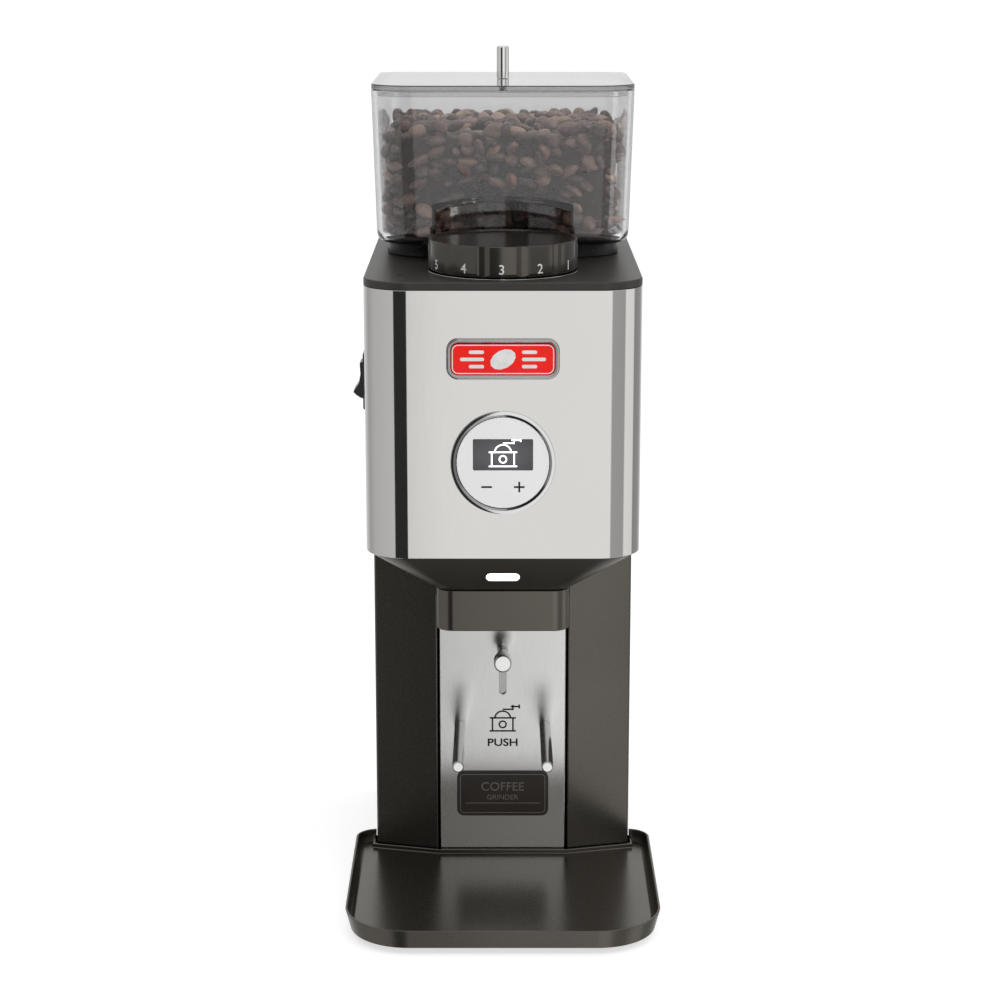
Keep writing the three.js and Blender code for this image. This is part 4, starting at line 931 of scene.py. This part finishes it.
def makeDisplay():
    low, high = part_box("display_bezel")
    centre = (low.z + high.z) / 2
    outer = (high.x - low.x) / 2
    faceLow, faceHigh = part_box("display_face")
    inner = (faceHigh.x - faceLow.x) / 2 + 0.3 * mm
    s = displayShape
    deep = high.y - low.y
    profile = [
        (inner + 0.85 * mm, 0.9 * mm), (inner + 0.85 * mm, 0.1 * mm), (inner + 1.0 * mm, 0),
        (outer - 0.35 * mm, 0.05 * mm), (outer - 0.1 * mm, 0.2 * mm), (outer, 0.5 * mm), (outer, 0.9 * mm),
    ]
    bezel = moved(turned(profile, 128, closed=True), (0, low.y, centre), (-math.pi / 2, "X"))
    finish("displayBezel", bezel, made["displayRing"], "stand", ["display_bezel"])
    # The bezel's inner slope in a darker chrome than the bezel: a painted shade ring round the display face.
    slope = [
        (inner, deep), (inner, 0.55 * mm), (inner + 0.75 * mm, 0.25 * mm), (inner + 0.84 * mm, 0.3 * mm),
        (inner + 0.84 * mm, deep),
    ]
    well = moved(turned(slope, 128, closed=True), (0, low.y, centre), (-math.pi / 2, "X"))
    finish("displayShadeRing", well, made["bezelShadeChrome"], "stand")
    radius = (faceHigh.x - faceLow.x) / 2
    disc = turned([(0, 0), (radius - 0.2 * mm, 0), (radius, 0.2 * mm), (radius, faceHigh.y - faceLow.y),
                   (0, faceHigh.y - faceLow.y)], 128)
    moved(disc, (0, faceLow.y, centre), (-math.pi / 2, "X"))
    half = s["screenWidth"] / 2
    tall = s["screenHeight"] / 2
    middle = centre + s["screenRise"]
    window = panel(-half, half, middle - tall, middle + tall, faceLow.y - mm, faceHigh.y + mm,
                   s["screenCorner"], 5)
    finish("displayFace", combined(disc, [window]), made["paleFace"], "stand", ["display_face"],
           edge=0.12 * mm)
    gap = s["paneGap"]
    pane = panel(-half + gap, half - gap, middle - tall + gap, middle + tall - gap,
                 faceLow.y + 0.35 * mm, faceHigh.y + 0.8 * mm, s["screenCorner"], 5)
    finish("displayScreen", pane, screenLook, "stand", ["display_screen"], edge=0.08 * mm)
    icon = grinderMark(middle - tall + s["iconRise"], s["iconWidth"], s["iconLine"], faceLow.y + 0.27 * mm,
                       faceLow.y + 0.4 * mm)
    finish("screenIcon", icon, iconLook, "stand")
    key = s["keyWidth"] / 2
    line = s["keyLine"] / 2
    front = faceLow.y - 0.04 * mm
    back = faceLow.y + 0.1 * mm
    z = centre + s["keyZ"]
    keys = merged(
        panel(-s["keyX"] - key, -s["keyX"] + key, z - line, z + line, front, back),
        panel(s["keyX"] - key, s["keyX"] + key, z - line, z + line, front, back),
        panel(s["keyX"] - line, s["keyX"] + line, z + line, z + key, front, back),
        panel(s["keyX"] - line, s["keyX"] + line, z - key, z - line, front, back),
    )
    finish("touchKeys", keys, made["darkInk"], "stand")


# Badge

badgeShape = {
    "corner": 5.5 * mm, "rim": 2.2 * mm, "slope": 1.0 * mm, "borderInset": 0.35 * mm, "border": 0.45 * mm,
    "bean": (6.2 * mm, 0.28 * mm, 4.2 * mm), "beanTurn": -0.5, "barStart": 8.6 * mm,
    "barEnds": (15.5 * mm, 19.5 * mm, 15.5 * mm), "barPitch": 3.3 * mm, "barHalf": 0.8 * mm,
}


def makeBadge():
    low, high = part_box("badge_frame")
    s = badgeShape
    corner = s["corner"]
    deep = high.y - low.y

    def at(inset, depth):
        return (plan(low.x, high.x, low.z, high.z, corner, corner, inset, 14), -low.y - depth)

    outside = moved(loft([at(0, deep), at(0, 0.7 * mm), at(0.25 * mm, 0.25 * mm), at(0.75 * mm, 0)]),
                    turn=(math.pi / 2, "X"))
    rim = s["rim"]
    well = moved(loft([at(rim, 1.2 * mm), at(rim, 0.9 * mm), at(rim - s["slope"], 0),
                       at(rim - s["slope"], -mm)]),
                 turn=(math.pi / 2, "X"))
    # The badge frame in the dimmed chrome: painted shade on its reflections.
    finish("badgeFrame", combined(outside, [well]), made["shadedChrome"], "stand",
           ["badge_frame"], edge=0.08 * mm)
    front = low.y + 0.55 * mm
    back = low.y + 1.15 * mm

    def field(inset, y0, y1):
        return panel(low.x + inset, high.x - inset, low.z + inset, high.z - inset, y0, y1, corner - inset,
                     12)

    grown = rim + 0.05 * mm
    finish("badgeField", field(grown, front, back), made["redEnamel"], "stand", ["badge_inlay"],
           edge=0.12 * mm)
    border = combined(
        field(grown + s["borderInset"], front - 0.05 * mm, back - 0.2 * mm),
        [field(grown + s["borderInset"] + s["border"], front - mm, back + mm)],
    )
    middle = (low.z + high.z) / 2
    bean = turned([(0, -1), (0.5, -0.87), (0.87, -0.5), (1, 0), (0.87, 0.5), (0.5, 0.87), (0, 1)], 40)
    bmesh.ops.scale(bean, verts=bean.verts, vec=s["bean"])
    bmesh.ops.rotate(bean, verts=bean.verts, cent=(0, 0, 0), matrix=Matrix.Rotation(s["beanTurn"], 3, "Y"))
    moved(bean, (0, front, middle))
    bars = []
    for side in (-1, 1):
        for rank, reach in enumerate(s["barEnds"]):
            x0, x1 = sorted((side * s["barStart"], side * reach))
            z = middle + (rank - 1) * s["barPitch"]
            bars.append(panel(x0, x1, z - s["barHalf"], z + s["barHalf"], front - 0.05 * mm,
                              front + 0.1 * mm, 0.75 * mm, 5))
    finish("badgeMark", merged(border, bean, *bars), made["paleInk"], "stand")


# Grind dial

dialShape = {
    "soft": 0.6 * mm, "rim": 2.0 * mm, "dish": 1.0 * mm, "flutes": 12, "fluteDepth": 0.7 * mm,
    "fluteHalf": 3.5 * mm, "number": 4.3 * mm, "numberZ": 4.6 * mm, "numberPitch": 30, "spindle": 4.3 * mm,
    "spindleDepth": 8.3 * mm,
}


def makeDial():
    low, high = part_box("grind_dial")
    s = dialShape
    radius = (high.y - low.y) / 2
    centre = (low + high) / 2
    tall = high.z - low.z
    soft = s["soft"]
    rim = s["rim"]
    profile = [
        (0, 0), (radius - 3 * mm, 0), (radius - 1.2 * mm, 0.55 * mm), (radius - 0.3 * mm, 1.5 * mm),
        (radius, 2.6 * mm), (radius, tall - soft), (radius - soft * 0.3, tall - soft * 0.3),
        (radius - soft, tall), (radius - rim + 0.25 * mm, tall), (radius - rim, tall - 0.2 * mm),
        (radius - rim - 0.5 * mm, tall - s["dish"]), (0, tall - s["dish"]),
    ]
    blank = turned(profile, 144)
    fluteRadius = (s["fluteHalf"] ** 2 + s["fluteDepth"] ** 2) / (2 * s["fluteDepth"])
    reach = radius - s["fluteDepth"] + fluteRadius
    cutters = []
    for index in range(s["flutes"]):
        angle = 2 * math.pi * (index + 0.5) / s["flutes"] - math.pi / 2
        cutters.append(moved(rod(fluteRadius, -mm, tall + mm, 96),
                             (reach * math.cos(angle), reach * math.sin(angle), 0)))
    socket = rod(s["spindle"], -mm, s["spindleDepth"], 40)
    body = moved(combined(blank, [*cutters, socket]), (centre.x, centre.y, low.z))
    finish("dial", body, made["dialPlastic"], "dial", ["grind_dial"], edge=0.18 * mm)
    for value in range(1, 6):
        turn = math.radians((3 - value) * s["numberPitch"] - 1)
        digit = moved(lettering(str(value), s["number"], 0.16 * mm, 0.02 * mm), (0, -radius, s["numberZ"]))
        bmesh.ops.rotate(digit, verts=digit.verts, cent=(0, 0, 0), matrix=Matrix.Rotation(turn, 3, "Z"))
        moved(digit, (centre.x, centre.y, low.z))
        finish("dialNumber%d" % value, digit, made["paleInk"], "dial")
    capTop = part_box("top_cap")[1].z
    ring = turned([
        (radius - 1.1 * mm, 0.02 * mm), (radius - 0.1 * mm, 0.02 * mm), (radius + 0.05 * mm, 0.2 * mm),
        (radius - 0.1 * mm, 0.5 * mm), (radius - 0.8 * mm, 0.55 * mm), (radius - 1.1 * mm, 0.3 * mm),
    ], 144, closed=True)
    moved(ring, (centre.x, centre.y, capTop))
    tick = moved(block((-1.2 * mm, -radius - 0.9 * mm, 0.02 * mm),
                       (1.2 * mm, -radius + 0.6 * mm, 0.75 * mm)),
                 (centre.x, centre.y, capTop))
    # The dial ring in the dimmed chrome: painted shade toning down its reflections.
    finish("dialRing", merged(ring, tick), made["shadedChrome"], "stand", edge=0.1 * mm)


# Hopper, lid and beans

hopperShape = {
    "draft": 2.3 * mm, "radius": 20 * mm, "rearRadius": 8 * mm, "floorRadius": 4.5 * mm, "wall": 2.5 * mm,
    "pocketGap": 2.6 * mm, "pocketSide": 335.5 * mm, "pocketArch": 4.3 * mm, "neck": 23 * mm,
    "neckWall": 1.8 * mm, "steps": 20, "bottom": 319 * mm,
}


def hopperLayer(z, inset):
    low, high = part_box("hopper")
    s = hopperShape
    lean = s["draft"] * (high.z - z) / (high.z - s["bottom"])
    outline = plan(low.x + lean, high.x - lean, low.y, high.y - lean, s["radius"], s["rearRadius"], inset,
                   s["steps"])
    return ({**outline, "backRadius": max(outline["backRadius"], 0.4 * mm)}, z)


def hopperForm(wall, top):
    s = hopperShape
    bottom = s["bottom"] + wall
    radius = s["floorRadius"] - wall / 2
    layers = []
    for step in range(9):
        turn = math.pi / 2 * step / 8
        z = bottom + radius * (1 - math.cos(turn))
        layers.append(hopperLayer(z, wall + radius * (1 - math.sin(turn))))
    layers.append(hopperLayer(top, wall))
    return loft(layers)


# The arched pocket round the dial, grown by a wall.
def dialPocket(grow):
    s = hopperShape
    dialLow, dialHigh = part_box("grind_dial")
    axis = (dialLow.y + dialHigh.y) / 2
    reach = (dialHigh.y - dialLow.y) / 2 + s["pocketGap"]
    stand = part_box("hopper")[0].y - axis
    mouth = math.sqrt(reach ** 2 - stand ** 2) + grow
    bow = (mouth ** 2 + s["pocketArch"] ** 2) / (2 * s["pocketArch"])
    lift = s["pocketSide"] + grow + s["pocketArch"] - bow
    sweep = math.asin(mouth / bow)
    corners = [(-mouth, -(s["bottom"] - 20 * mm)), (mouth, -(s["bottom"] - 20 * mm))]
    for step in range(25):
        turn = math.pi / 2 - sweep + 2 * sweep * step / 24
        corners.append((bow * math.cos(turn), -(lift + bow * math.sin(turn))))
    arch = moved(prism(corners, -0.1, 0.1), turn=(-math.pi / 2, "X"))
    drum = moved(rod(reach + grow, s["bottom"] - 30 * mm, 0.4, 128), (0, axis, 0))
    return combined(arch, [drum], "INTERSECT")


def makeHopper():
    low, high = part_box("hopper")
    s = hopperShape
    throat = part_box("upper_burr_carrier")
    axis = (throat[0].y + throat[1].y) / 2
    neck = turned([(s["neck"], low.z), (s["neck"] + s["neckWall"], low.z),
                   (s["neck"] + s["neckWall"], s["bottom"] + mm), (s["neck"], s["bottom"] + mm)], 96,
                   closed=True)
    shell = join(combined(hopperForm(0, high.z), [dialPocket(0)]), moved(neck, (0, axis, 0)))
    inside = combined(hopperForm(s["wall"], high.z + 5 * mm), [dialPocket(s["wall"])])
    bore = moved(rod(s["neck"], low.z - mm, s["bottom"] + 6 * mm, 96), (0, axis, 0))
    body = combined(shell, [inside, bore])
    piece = finish("hopperShell", body, made["smokedClear"], "hopper", ["hopper"],
                   edge=0.25 * mm)
    piece.visible_shadow = False


seatShape = {"corner": 26 * mm, "bore": 25.5 * mm, "flare": 1.5 * mm, "foot": 4 * mm, "soft": 0.4 * mm}


def makeSeat():
    s = seatShape
    low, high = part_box("hopper_seat")
    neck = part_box("upper_burr_carrier")
    axis = (neck[0].y + neck[1].y) / 2

    def at(inset, z):
        return (plan(low.x, high.x, low.y, high.y, s["corner"], s["corner"], inset, 16), z)

    body = loft([at(s["flare"], low.z), at(s["flare"], low.z + s["foot"]), at(s["soft"], high.z - mm),
                 at(0, high.z)])
    bore = moved(rod(s["bore"], 0.3, 0.34, 96), (0, axis, 0))
    finish("hopperSeat", combined(body, [bore]), made["blackPlastic"], "stand",
           ["hopper_seat"], edge=0.25 * mm)


lidShape = {"thickness": 2.5 * mm, "lipWall": 1.6 * mm, "clear": 0.6 * mm, "soft": 0.5 * mm, "hole": 1.8 * mm}


def makeLid():
    low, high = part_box("hopper_lid")
    s = lidShape
    rim = hopperLayer(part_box("hopper")[1].z, 0)[0]
    wall = hopperShape["wall"] + s["clear"]

    def at(inset, z):
        outline = {**rim, "left": rim["left"] + inset, "right": rim["right"] - inset,
                   "front": rim["front"] + inset, "back": rim["back"] - inset,
                   "frontRadius": rim["frontRadius"] - inset,
                   "backRadius": max(rim["backRadius"] - inset, 0.4 * mm)}
        return (outline, z)

    plateLow = high.z - s["thickness"]
    soft = s["soft"]
    plate = loft([at(0.2 * mm, plateLow), at(0, plateLow + 0.2 * mm), at(0, high.z - soft),
                  at(soft * 0.3, high.z - soft * 0.3), at(soft, high.z)])
    skirt = loft([at(wall, low.z), at(wall, plateLow - 0.02 * mm)])
    hollow = loft([at(wall + s["lipWall"], low.z - mm), at(wall + s["lipWall"], high.z)])
    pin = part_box("lid_pin")
    hole = moved(rod(s["hole"], low.z - mm, high.z + mm, 32), (0, (pin[0].y + pin[1].y) / 2, 0))
    piece = finish("lid", combined(plate, [hole]), made["smokedLid"], "lid", ["hopper_lid"],
                   edge=0.15 * mm)
    piece.visible_shadow = False
    # The plate's edge faces get the darker copy of the lid plastic: a painted shade band along the lid's
    # edge.
    piece.data.materials.append(made["lidEdgeShade"])
    for face in piece.data.polygons:
        if abs(face.normal.z) < 0.5:
            face.material_index = 1
    lip = finish("lidLip", combined(skirt, [hollow]), made["smokedLid"], "lid",
                 edge=0.15 * mm)
    lip.visible_shadow = False
    pinLow, pinHigh = pin
    radius = (pinHigh.x - pinLow.x) / 2
    top = pinHigh.z - pinLow.z
    shoulder = high.z + 0.1 * mm - pinLow.z
    profile = [
        (0, 0), (1.5 * mm, 0), (1.5 * mm, shoulder), (radius - 0.2 * mm, shoulder),
        (radius, shoulder + 0.2 * mm), (radius, top - mm), (radius - 0.15 * mm, top - 0.55 * mm),
        (radius - 0.5 * mm, top - 0.15 * mm), (radius - mm, top), (0, top),
    ]
    rodPiece = moved(turned(profile, 64), (0, (pinLow.y + pinHigh.y) / 2, pinLow.z))
    finish("lidPin", rodPiece, made["chrome"], "lid", ["lid_pin"])


beanShape = {
    "length": 5.3 * mm, "width": 3.9 * mm, "height": 3.2 * mm, "crease": 1.1 * mm, "pitch": 6.1 * mm,
    "seed": 11, "spread": 1.4 * mm, "heap": 2.6 * mm, "shadeCoreDepth": 7.5 * mm, "clear": 3.4 * mm,
}


# One bean: a small oval with a flat, creased underside.
def beanForm():
    s = beanShape
    bm = bmesh.new()
    bm.verts.layers.float.new("tone")
    bmesh.ops.create_uvsphere(bm, u_segments=10, v_segments=7, radius=1.0)
    bmesh.ops.rotate(bm, verts=bm.verts, cent=(0, 0, 0), matrix=Matrix.Rotation(math.pi / 2, 3, "Y"))
    crease = [v for v in bm.verts if v.co.z < -0.3 and abs(v.co.y) < 0.05 and abs(v.co.x) < 0.95]
    under = [v for v in bm.verts if v.co.z < -0.01]
    bmesh.ops.scale(bm, verts=under, vec=(1, 1, 0.55))
    bmesh.ops.scale(bm, verts=bm.verts, vec=(s["length"], s["width"], s["height"]))
    bmesh.ops.translate(bm, verts=crease, vec=(0, 0, s["crease"]))
    return bm


def makeBeans():
    low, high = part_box("coffee_beans")
    s = beanShape
    chance = random.Random(s["seed"])
    # A dark solid inside the pile: painted shade that shows through the gaps between the beans.
    core = combined(hopperForm(s["shadeCoreDepth"], high.z - 5 * mm), [dialPocket(s["shadeCoreDepth"])])
    finish("beanShadeCore", core, made["beanShadeDark"], "hopper")
    form = beanForm()
    pile = []
    dialLow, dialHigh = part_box("grind_dial")
    axis = (dialLow.y + dialHigh.y) / 2
    pocket = (dialHigh.y - dialLow.y) / 2 + hopperShape["pocketGap"] + hopperShape["wall"]
    pitch = s["pitch"]
    spread = s["spread"]
    bend = hopperShape["radius"]
    count = 0
    z = low.z + 3.2 * mm
    while z < high.z + 2 * mm:
        share = (z - low.z) / (high.z - low.z)
        lean = hopperShape["draft"] * (1 - share)
        y = low.y + 4 * mm
        row = 0
        while y < high.y - 3 * mm:
            x = low.x + 4.5 * mm + lean + (row % 2) * pitch / 2
            while x < high.x - 4 * mm - lean:
                place = Vector((
                    x + chance.uniform(-spread, spread), y + chance.uniform(-spread, spread),
                    z + chance.uniform(-1.2, 1.2) * mm,
                ))
                x += pitch * 1.18
                wall = min(place.x - low.x, high.x - place.x, place.y - low.y, high.y - place.y)
                across = max(bend - min(place.x - low.x, high.x - place.x), 0)
                along = max(bend - (place.y - low.y), 0)
                reach = math.hypot(place.x, place.y - axis) - pocket
                overPocket = place.z - (hopperShape["pocketSide"] + 4 * mm)
                heap = s["heap"] * math.sin(place.x * 170 + 1) * math.cos(place.y * 140) - 1.2 * mm
                top = high.z + heap - place.z
                if top < 0 or math.hypot(across, along) > bend - s["clear"]:
                    continue
                if reach < s["clear"] and overPocket < 6 * mm:
                    continue
                nearPocket = reach < 13 * mm and overPocket < 15 * mm
                if wall > 12 * mm and top > 10 * mm and not nearPocket and share > 0.12:
                    continue
                spin = Matrix.Rotation(chance.uniform(0, 2 * math.pi), 4, "Z")
                roll = Matrix.Rotation(chance.gauss(0, 0.75), 4, "X")
                tilt = roll @ Matrix.Rotation(chance.gauss(0, 0.5), 4, "Y")
                flip = Matrix.Rotation(math.pi if chance.random() < 0.45 else 0.0, 4, "X")
                size = Matrix.Scale(chance.uniform(0.86, 1.1), 4)
                shade = chance.random()
                bean = form.copy()
                pose = Matrix.Translation(place) @ spin @ tilt @ flip @ size
                bmesh.ops.transform(bean, matrix=pose, verts=bean.verts)
                tone = bean.verts.layers.float["tone"]
                for vert in bean.verts:
                    vert[tone] = shade
                pile.append(bean)
                count += 1
            y += pitch
            row += 1
        z += pitch * 0.78
    piece = finish("beans", merged(*pile), made["beanSkin"], "hopper", ["coffee_beans"],
                   sharpAngle=60)
    piece.modifiers.clear()
    form.free()
    print("beans placed:", count)


# Looks that the plain surfaces above don't cover


# A lit surface: an even glow with a faint mottle.
def glow(name, tint, strength, spread):
    material = surface(name, {
        "tones": (tint, tint), "roughness": (0.3, 0.4), "grain": 1500, "cloud": 300, "relief": 0.05,
        "depth": 0.01 * mm,
    })
    tree = material.node_tree
    shader = principled(material)
    shader.inputs["Emission Color"].default_value = (*tint, 1)
    mottle = tree.nodes.new("ShaderNodeTexNoise")
    mottle.inputs["Scale"].default_value = 400
    place = next(n for n in tree.nodes if n.type == "TEX_COORD")
    tree.links.new(place.outputs["Object"], mottle.inputs["Vector"])
    level = tree.nodes.new("ShaderNodeMapRange")
    put(level, {"To Min": strength - spread, "To Max": strength + spread})
    tree.links.new(mottle.outputs["Fac"], level.inputs["Value"])
    tree.links.new(level.outputs["Result"], shader.inputs["Emission Strength"])
    return material


lampLook = glow("lampGlow", (1.0, 1.0, 1.0), 2.6, 0.2)
iconLook = glow("iconGlow", (0.95, 0.97, 1.0), 1.5, 0.1)


# The screen: grey, a little lighter towards its middle.
def screenSurface():
    material = glow("screenGlow", (0.015, 0.015, 0.016), 0.9, 0.15)
    tree = material.node_tree
    place = next(n for n in tree.nodes if n.type == "TEX_COORD")
    shader = principled(material)
    low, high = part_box("display_screen")
    centre = (low + high) / 2
    mapping = tree.nodes.new("ShaderNodeMapping")
    wide, tall = 40, 75  # how fast the glow fades across and up
    put(mapping, {"Location": (0, 0, -centre.z * tall), "Scale": (wide, 0, tall)})
    tree.links.new(place.outputs["Object"], mapping.inputs["Vector"])
    fade = tree.nodes.new("ShaderNodeTexGradient")
    fade.gradient_type = "SPHERICAL"
    tree.links.new(mapping.outputs["Vector"], fade.inputs["Vector"])
    tones = tree.nodes.new("ShaderNodeValToRGB")
    fillRamp(tones, [(0.0, (0.035, 0.035, 0.037)), (1.0, (0.13, 0.13, 0.135))])
    tree.links.new(fade.outputs["Fac"], tones.inputs["Fac"])
    tree.links.new(tones.outputs["Color"], shader.inputs["Emission Color"])
    shader.inputs["Specular IOR Level"].default_value = 0.2
    return material


screenLook = screenSurface()


# Roasted beans: a tone of their own each, and an oily, finely creased skin.
def beanSurface():
    material = surface("beanSkin", {
        "tones": ((0.035, 0.018, 0.013), (0.06, 0.032, 0.024)), "roughness": (0.24, 0.36), "grain": 900,
        "cloud": 260, "relief": 0.45, "depth": 0.12 * mm, "coat": 0.4, "coatRoughness": 0.22,
    })
    tree = material.node_tree
    shader = principled(material)
    tone = tree.nodes.new("ShaderNodeAttribute")
    tone.attribute_name = "tone"
    ramp = tree.nodes.new("ShaderNodeValToRGB")
    fillRamp(ramp, [
        (0.0, (0.028, 0.014, 0.01)), (0.3, (0.065, 0.034, 0.025)), (0.65, (0.15, 0.083, 0.062)),
        (0.9, (0.3, 0.185, 0.135)), (1.0, (0.55, 0.4, 0.27)),
    ])
    tree.links.new(tone.outputs["Fac"], ramp.inputs["Fac"])
    base = next(n for n in tree.nodes if n.type == "VALTORGB" and n != ramp)
    mix = tree.nodes.new("ShaderNodeMix")
    mix.data_type = "RGBA"
    mix.inputs[0].default_value = 0.8
    tree.links.new(base.outputs["Color"], mix.inputs[6])
    tree.links.new(ramp.outputs["Color"], mix.inputs[7])
    tree.links.new(mix.outputs[2], shader.inputs["Base Color"])
    return material


made["beanSkin"] = beanSurface()

# Working parts inside

insideLooks = {
    "chute": "plainSteel", "plate_spring": "plainSteel", "plate_microswitch": "blackPlastic",
    "display_board": "circuitBoard", "control_board": "circuitBoard", "run_capacitor": "blackPlastic",
    "motor_can": "plainSteel", "motor_stator": "windingCopper", "motor_rotor": "plainSteel",
    "lower_bearing": "plainSteel", "upper_bearing": "plainSteel", "motor_fan": "blackPlastic",
    "motor_bracket": "castMetal", "burr_chamber": "castMetal", "lower_burr_carrier": "castMetal",
    "lower_burr": "plainSteel", "upper_burr": "plainSteel", "upper_burr_carrier": "brass",
    "adjusting_ring": "castMetal", "dial_pinion": "brass", "pinion_post": "castMetal",
    "hook_nut": "plainSteel", "fork_nut_left": "plainSteel", "fork_nut_right": "plainSteel",
    "base_plate": "plainSteel",
}


def paintInside():
    for name, look in insideLooks.items():
        node = nodes[name]
        for part in node.material_slots:
            part.link = "OBJECT"
            part.material = made[look]


# World, lights, floor and camera

# Brightness seen round the object, by turn from the front towards its right, in degrees.
surroundings = [
    (-180, 0.9), (-150, 0.7), (-125, 0.42), (-100, 0.55), (-38, 0.62), (-37, 0.03), (-3.6, 0.03),
    (-2.6, 0.95), (36, 0.95), (37, 0.42), (74, 0.4), (77, 0.9), (106, 0.85), (110, 0.3), (140, 0.35),
    (160, 0.75), (180, 0.9),
]


overhead = {"low": 0.45, "high": 0.75, "colour": (0.85, 0.85, 0.86, 1)}


def makeWorld():
    world = bpy.data.worlds.new("studio")
    scene.world = world
    world.use_nodes = True
    tree = world.node_tree
    tree.nodes.clear()
    node = tree.nodes.new
    link = tree.links.new
    place = node("ShaderNodeTexCoord")
    split = node("ShaderNodeSeparateXYZ")
    link(place.outputs["Generated"], split.inputs["Vector"])
    back = node("ShaderNodeMath")
    back.operation = "MULTIPLY"
    back.inputs[1].default_value = -1.0
    link(split.outputs["Y"], back.inputs[0])
    turn = node("ShaderNodeMath")
    turn.operation = "ARCTAN2"
    link(split.outputs["X"], turn.inputs[0])
    link(back.outputs["Value"], turn.inputs[1])
    share = node("ShaderNodeMapRange")
    put(share, {"From Min": -math.pi, "From Max": math.pi})
    link(turn.outputs["Value"], share.inputs["Value"])
    ramp = node("ShaderNodeValToRGB")
    fillRamp(ramp, [((degrees + 180) / 360, (level,) * 3) for degrees, level in surroundings])
    link(share.outputs["Result"], ramp.inputs["Fac"])
    above = node("ShaderNodeMapRange")
    put(above, {"From Min": overhead["low"], "From Max": overhead["high"]})
    link(split.outputs["Z"], above.inputs["Value"])
    sky = node("ShaderNodeMix")
    sky.data_type = "RGBA"
    sky.inputs[7].default_value = overhead["colour"]
    link(above.outputs["Result"], sky.inputs[0])
    link(ramp.outputs["Color"], sky.inputs[6])
    around = node("ShaderNodeBackground")
    link(sky.outputs[2], around.inputs["Color"])
    behind = node("ShaderNodeBackground")
    behind.inputs["Color"].default_value = (1, 1, 1, 1)
    path = node("ShaderNodeLightPath")
    choose = node("ShaderNodeMixShader")
    link(path.outputs["Is Camera Ray"], choose.inputs["Fac"])
    link(around.outputs["Background"], choose.inputs[1])
    link(behind.outputs["Background"], choose.inputs[2])
    output = node("ShaderNodeOutputWorld")
    link(choose.outputs["Shader"], output.inputs["Surface"])


def softbox(name, place, target, size, power):
    light = bpy.data.lights.new(name, "AREA")
    light.shape = "RECTANGLE"
    light.size, light.size_y = size
    light.energy = power
    thing = bpy.data.objects.new(name, light)
    thing.location = place
    thing.rotation_euler = (Vector(target) - Vector(place)).to_track_quat("-Z", "Y").to_euler()
    thing.visible_glossy = False
    scene.collection.objects.link(thing)


studio = {
    "floor": 40.0, "glow": 0.64, "shade": 0.5, "target": (0, 0, 0.2),
    # name, place, size and power of each lamp
    "lamps": [("overhead", (0.1, -0.35, 1.5), (1.5, 1.2), 9.0),
              ("rightSide", (1.3, -0.4, 0.6), (0.4, 1.2), 5.0)],
}


def makeStudio():
    bm = bmesh.new()
    bmesh.ops.create_circle(bm, cap_ends=True, segments=96, radius=studio["floor"])
    mesh = bpy.data.meshes.new("floor")
    bm.to_mesh(mesh)
    bm.free()
    floor = bpy.data.objects.new("floor", mesh)
    floor.location.z = -0.0002
    scene.collection.objects.link(floor)
    look = surface("floorPaper", {
        "tones": ((studio["shade"],) * 3, (studio["shade"] * 1.01,) * 3), "roughness": (0.8, 0.9),
        "grain": 300, "cloud": 2, "relief": 0.0,
    })
    put(principled(look), {"Emission Color": (1, 1, 1, 1), "Emission Strength": studio["glow"]})
    mesh.materials.append(look)
    floor.visible_glossy = False
    for name, place, size, power in studio["lamps"]:
        softbox(name, place, studio["target"], size, power)
    scene.view_settings.view_transform = "Standard"


# The tilt is in degrees below level.
view = {"lens": 88.45, "sensor": 36, "place": (-0.00135, -1.179, 0.467), "tilt": 13.17}


def makeCamera():
    data = bpy.data.cameras.new("camera")
    data.lens = view["lens"]
    data.sensor_width = view["sensor"]
    data.dof.use_dof = False
    camera = bpy.data.objects.new("camera", data)
    camera.location = view["place"]
    camera.rotation_euler = (math.radians(90 - view["tilt"]), 0, 0)
    scene.collection.objects.link(camera)
    scene.camera = camera


stages = [
    ("feet", makeFeet), ("tray", makeTray), ("column", makeColumn), ("push plate", makePushPlate),
    ("nameplate", makeNameplate), ("fork and hook", makeForkAndHook), ("nose", makeNose), ("chin", makeChin),
    ("casing", makeCasing), ("cap", makeCap), ("rear", makeRear), ("rocker", makeRocker),
    ("display", makeDisplay), ("badge", makeBadge), ("dial", makeDial), ("hopper seat", makeSeat),
    ("hopper", makeHopper), ("lid", makeLid), ("beans", makeBeans), ("inside", paintInside),
    ("world", makeWorld), ("studio", makeStudio), ("camera", makeCamera),
]
for label, build in stages:
    build()
    print("done:", label)
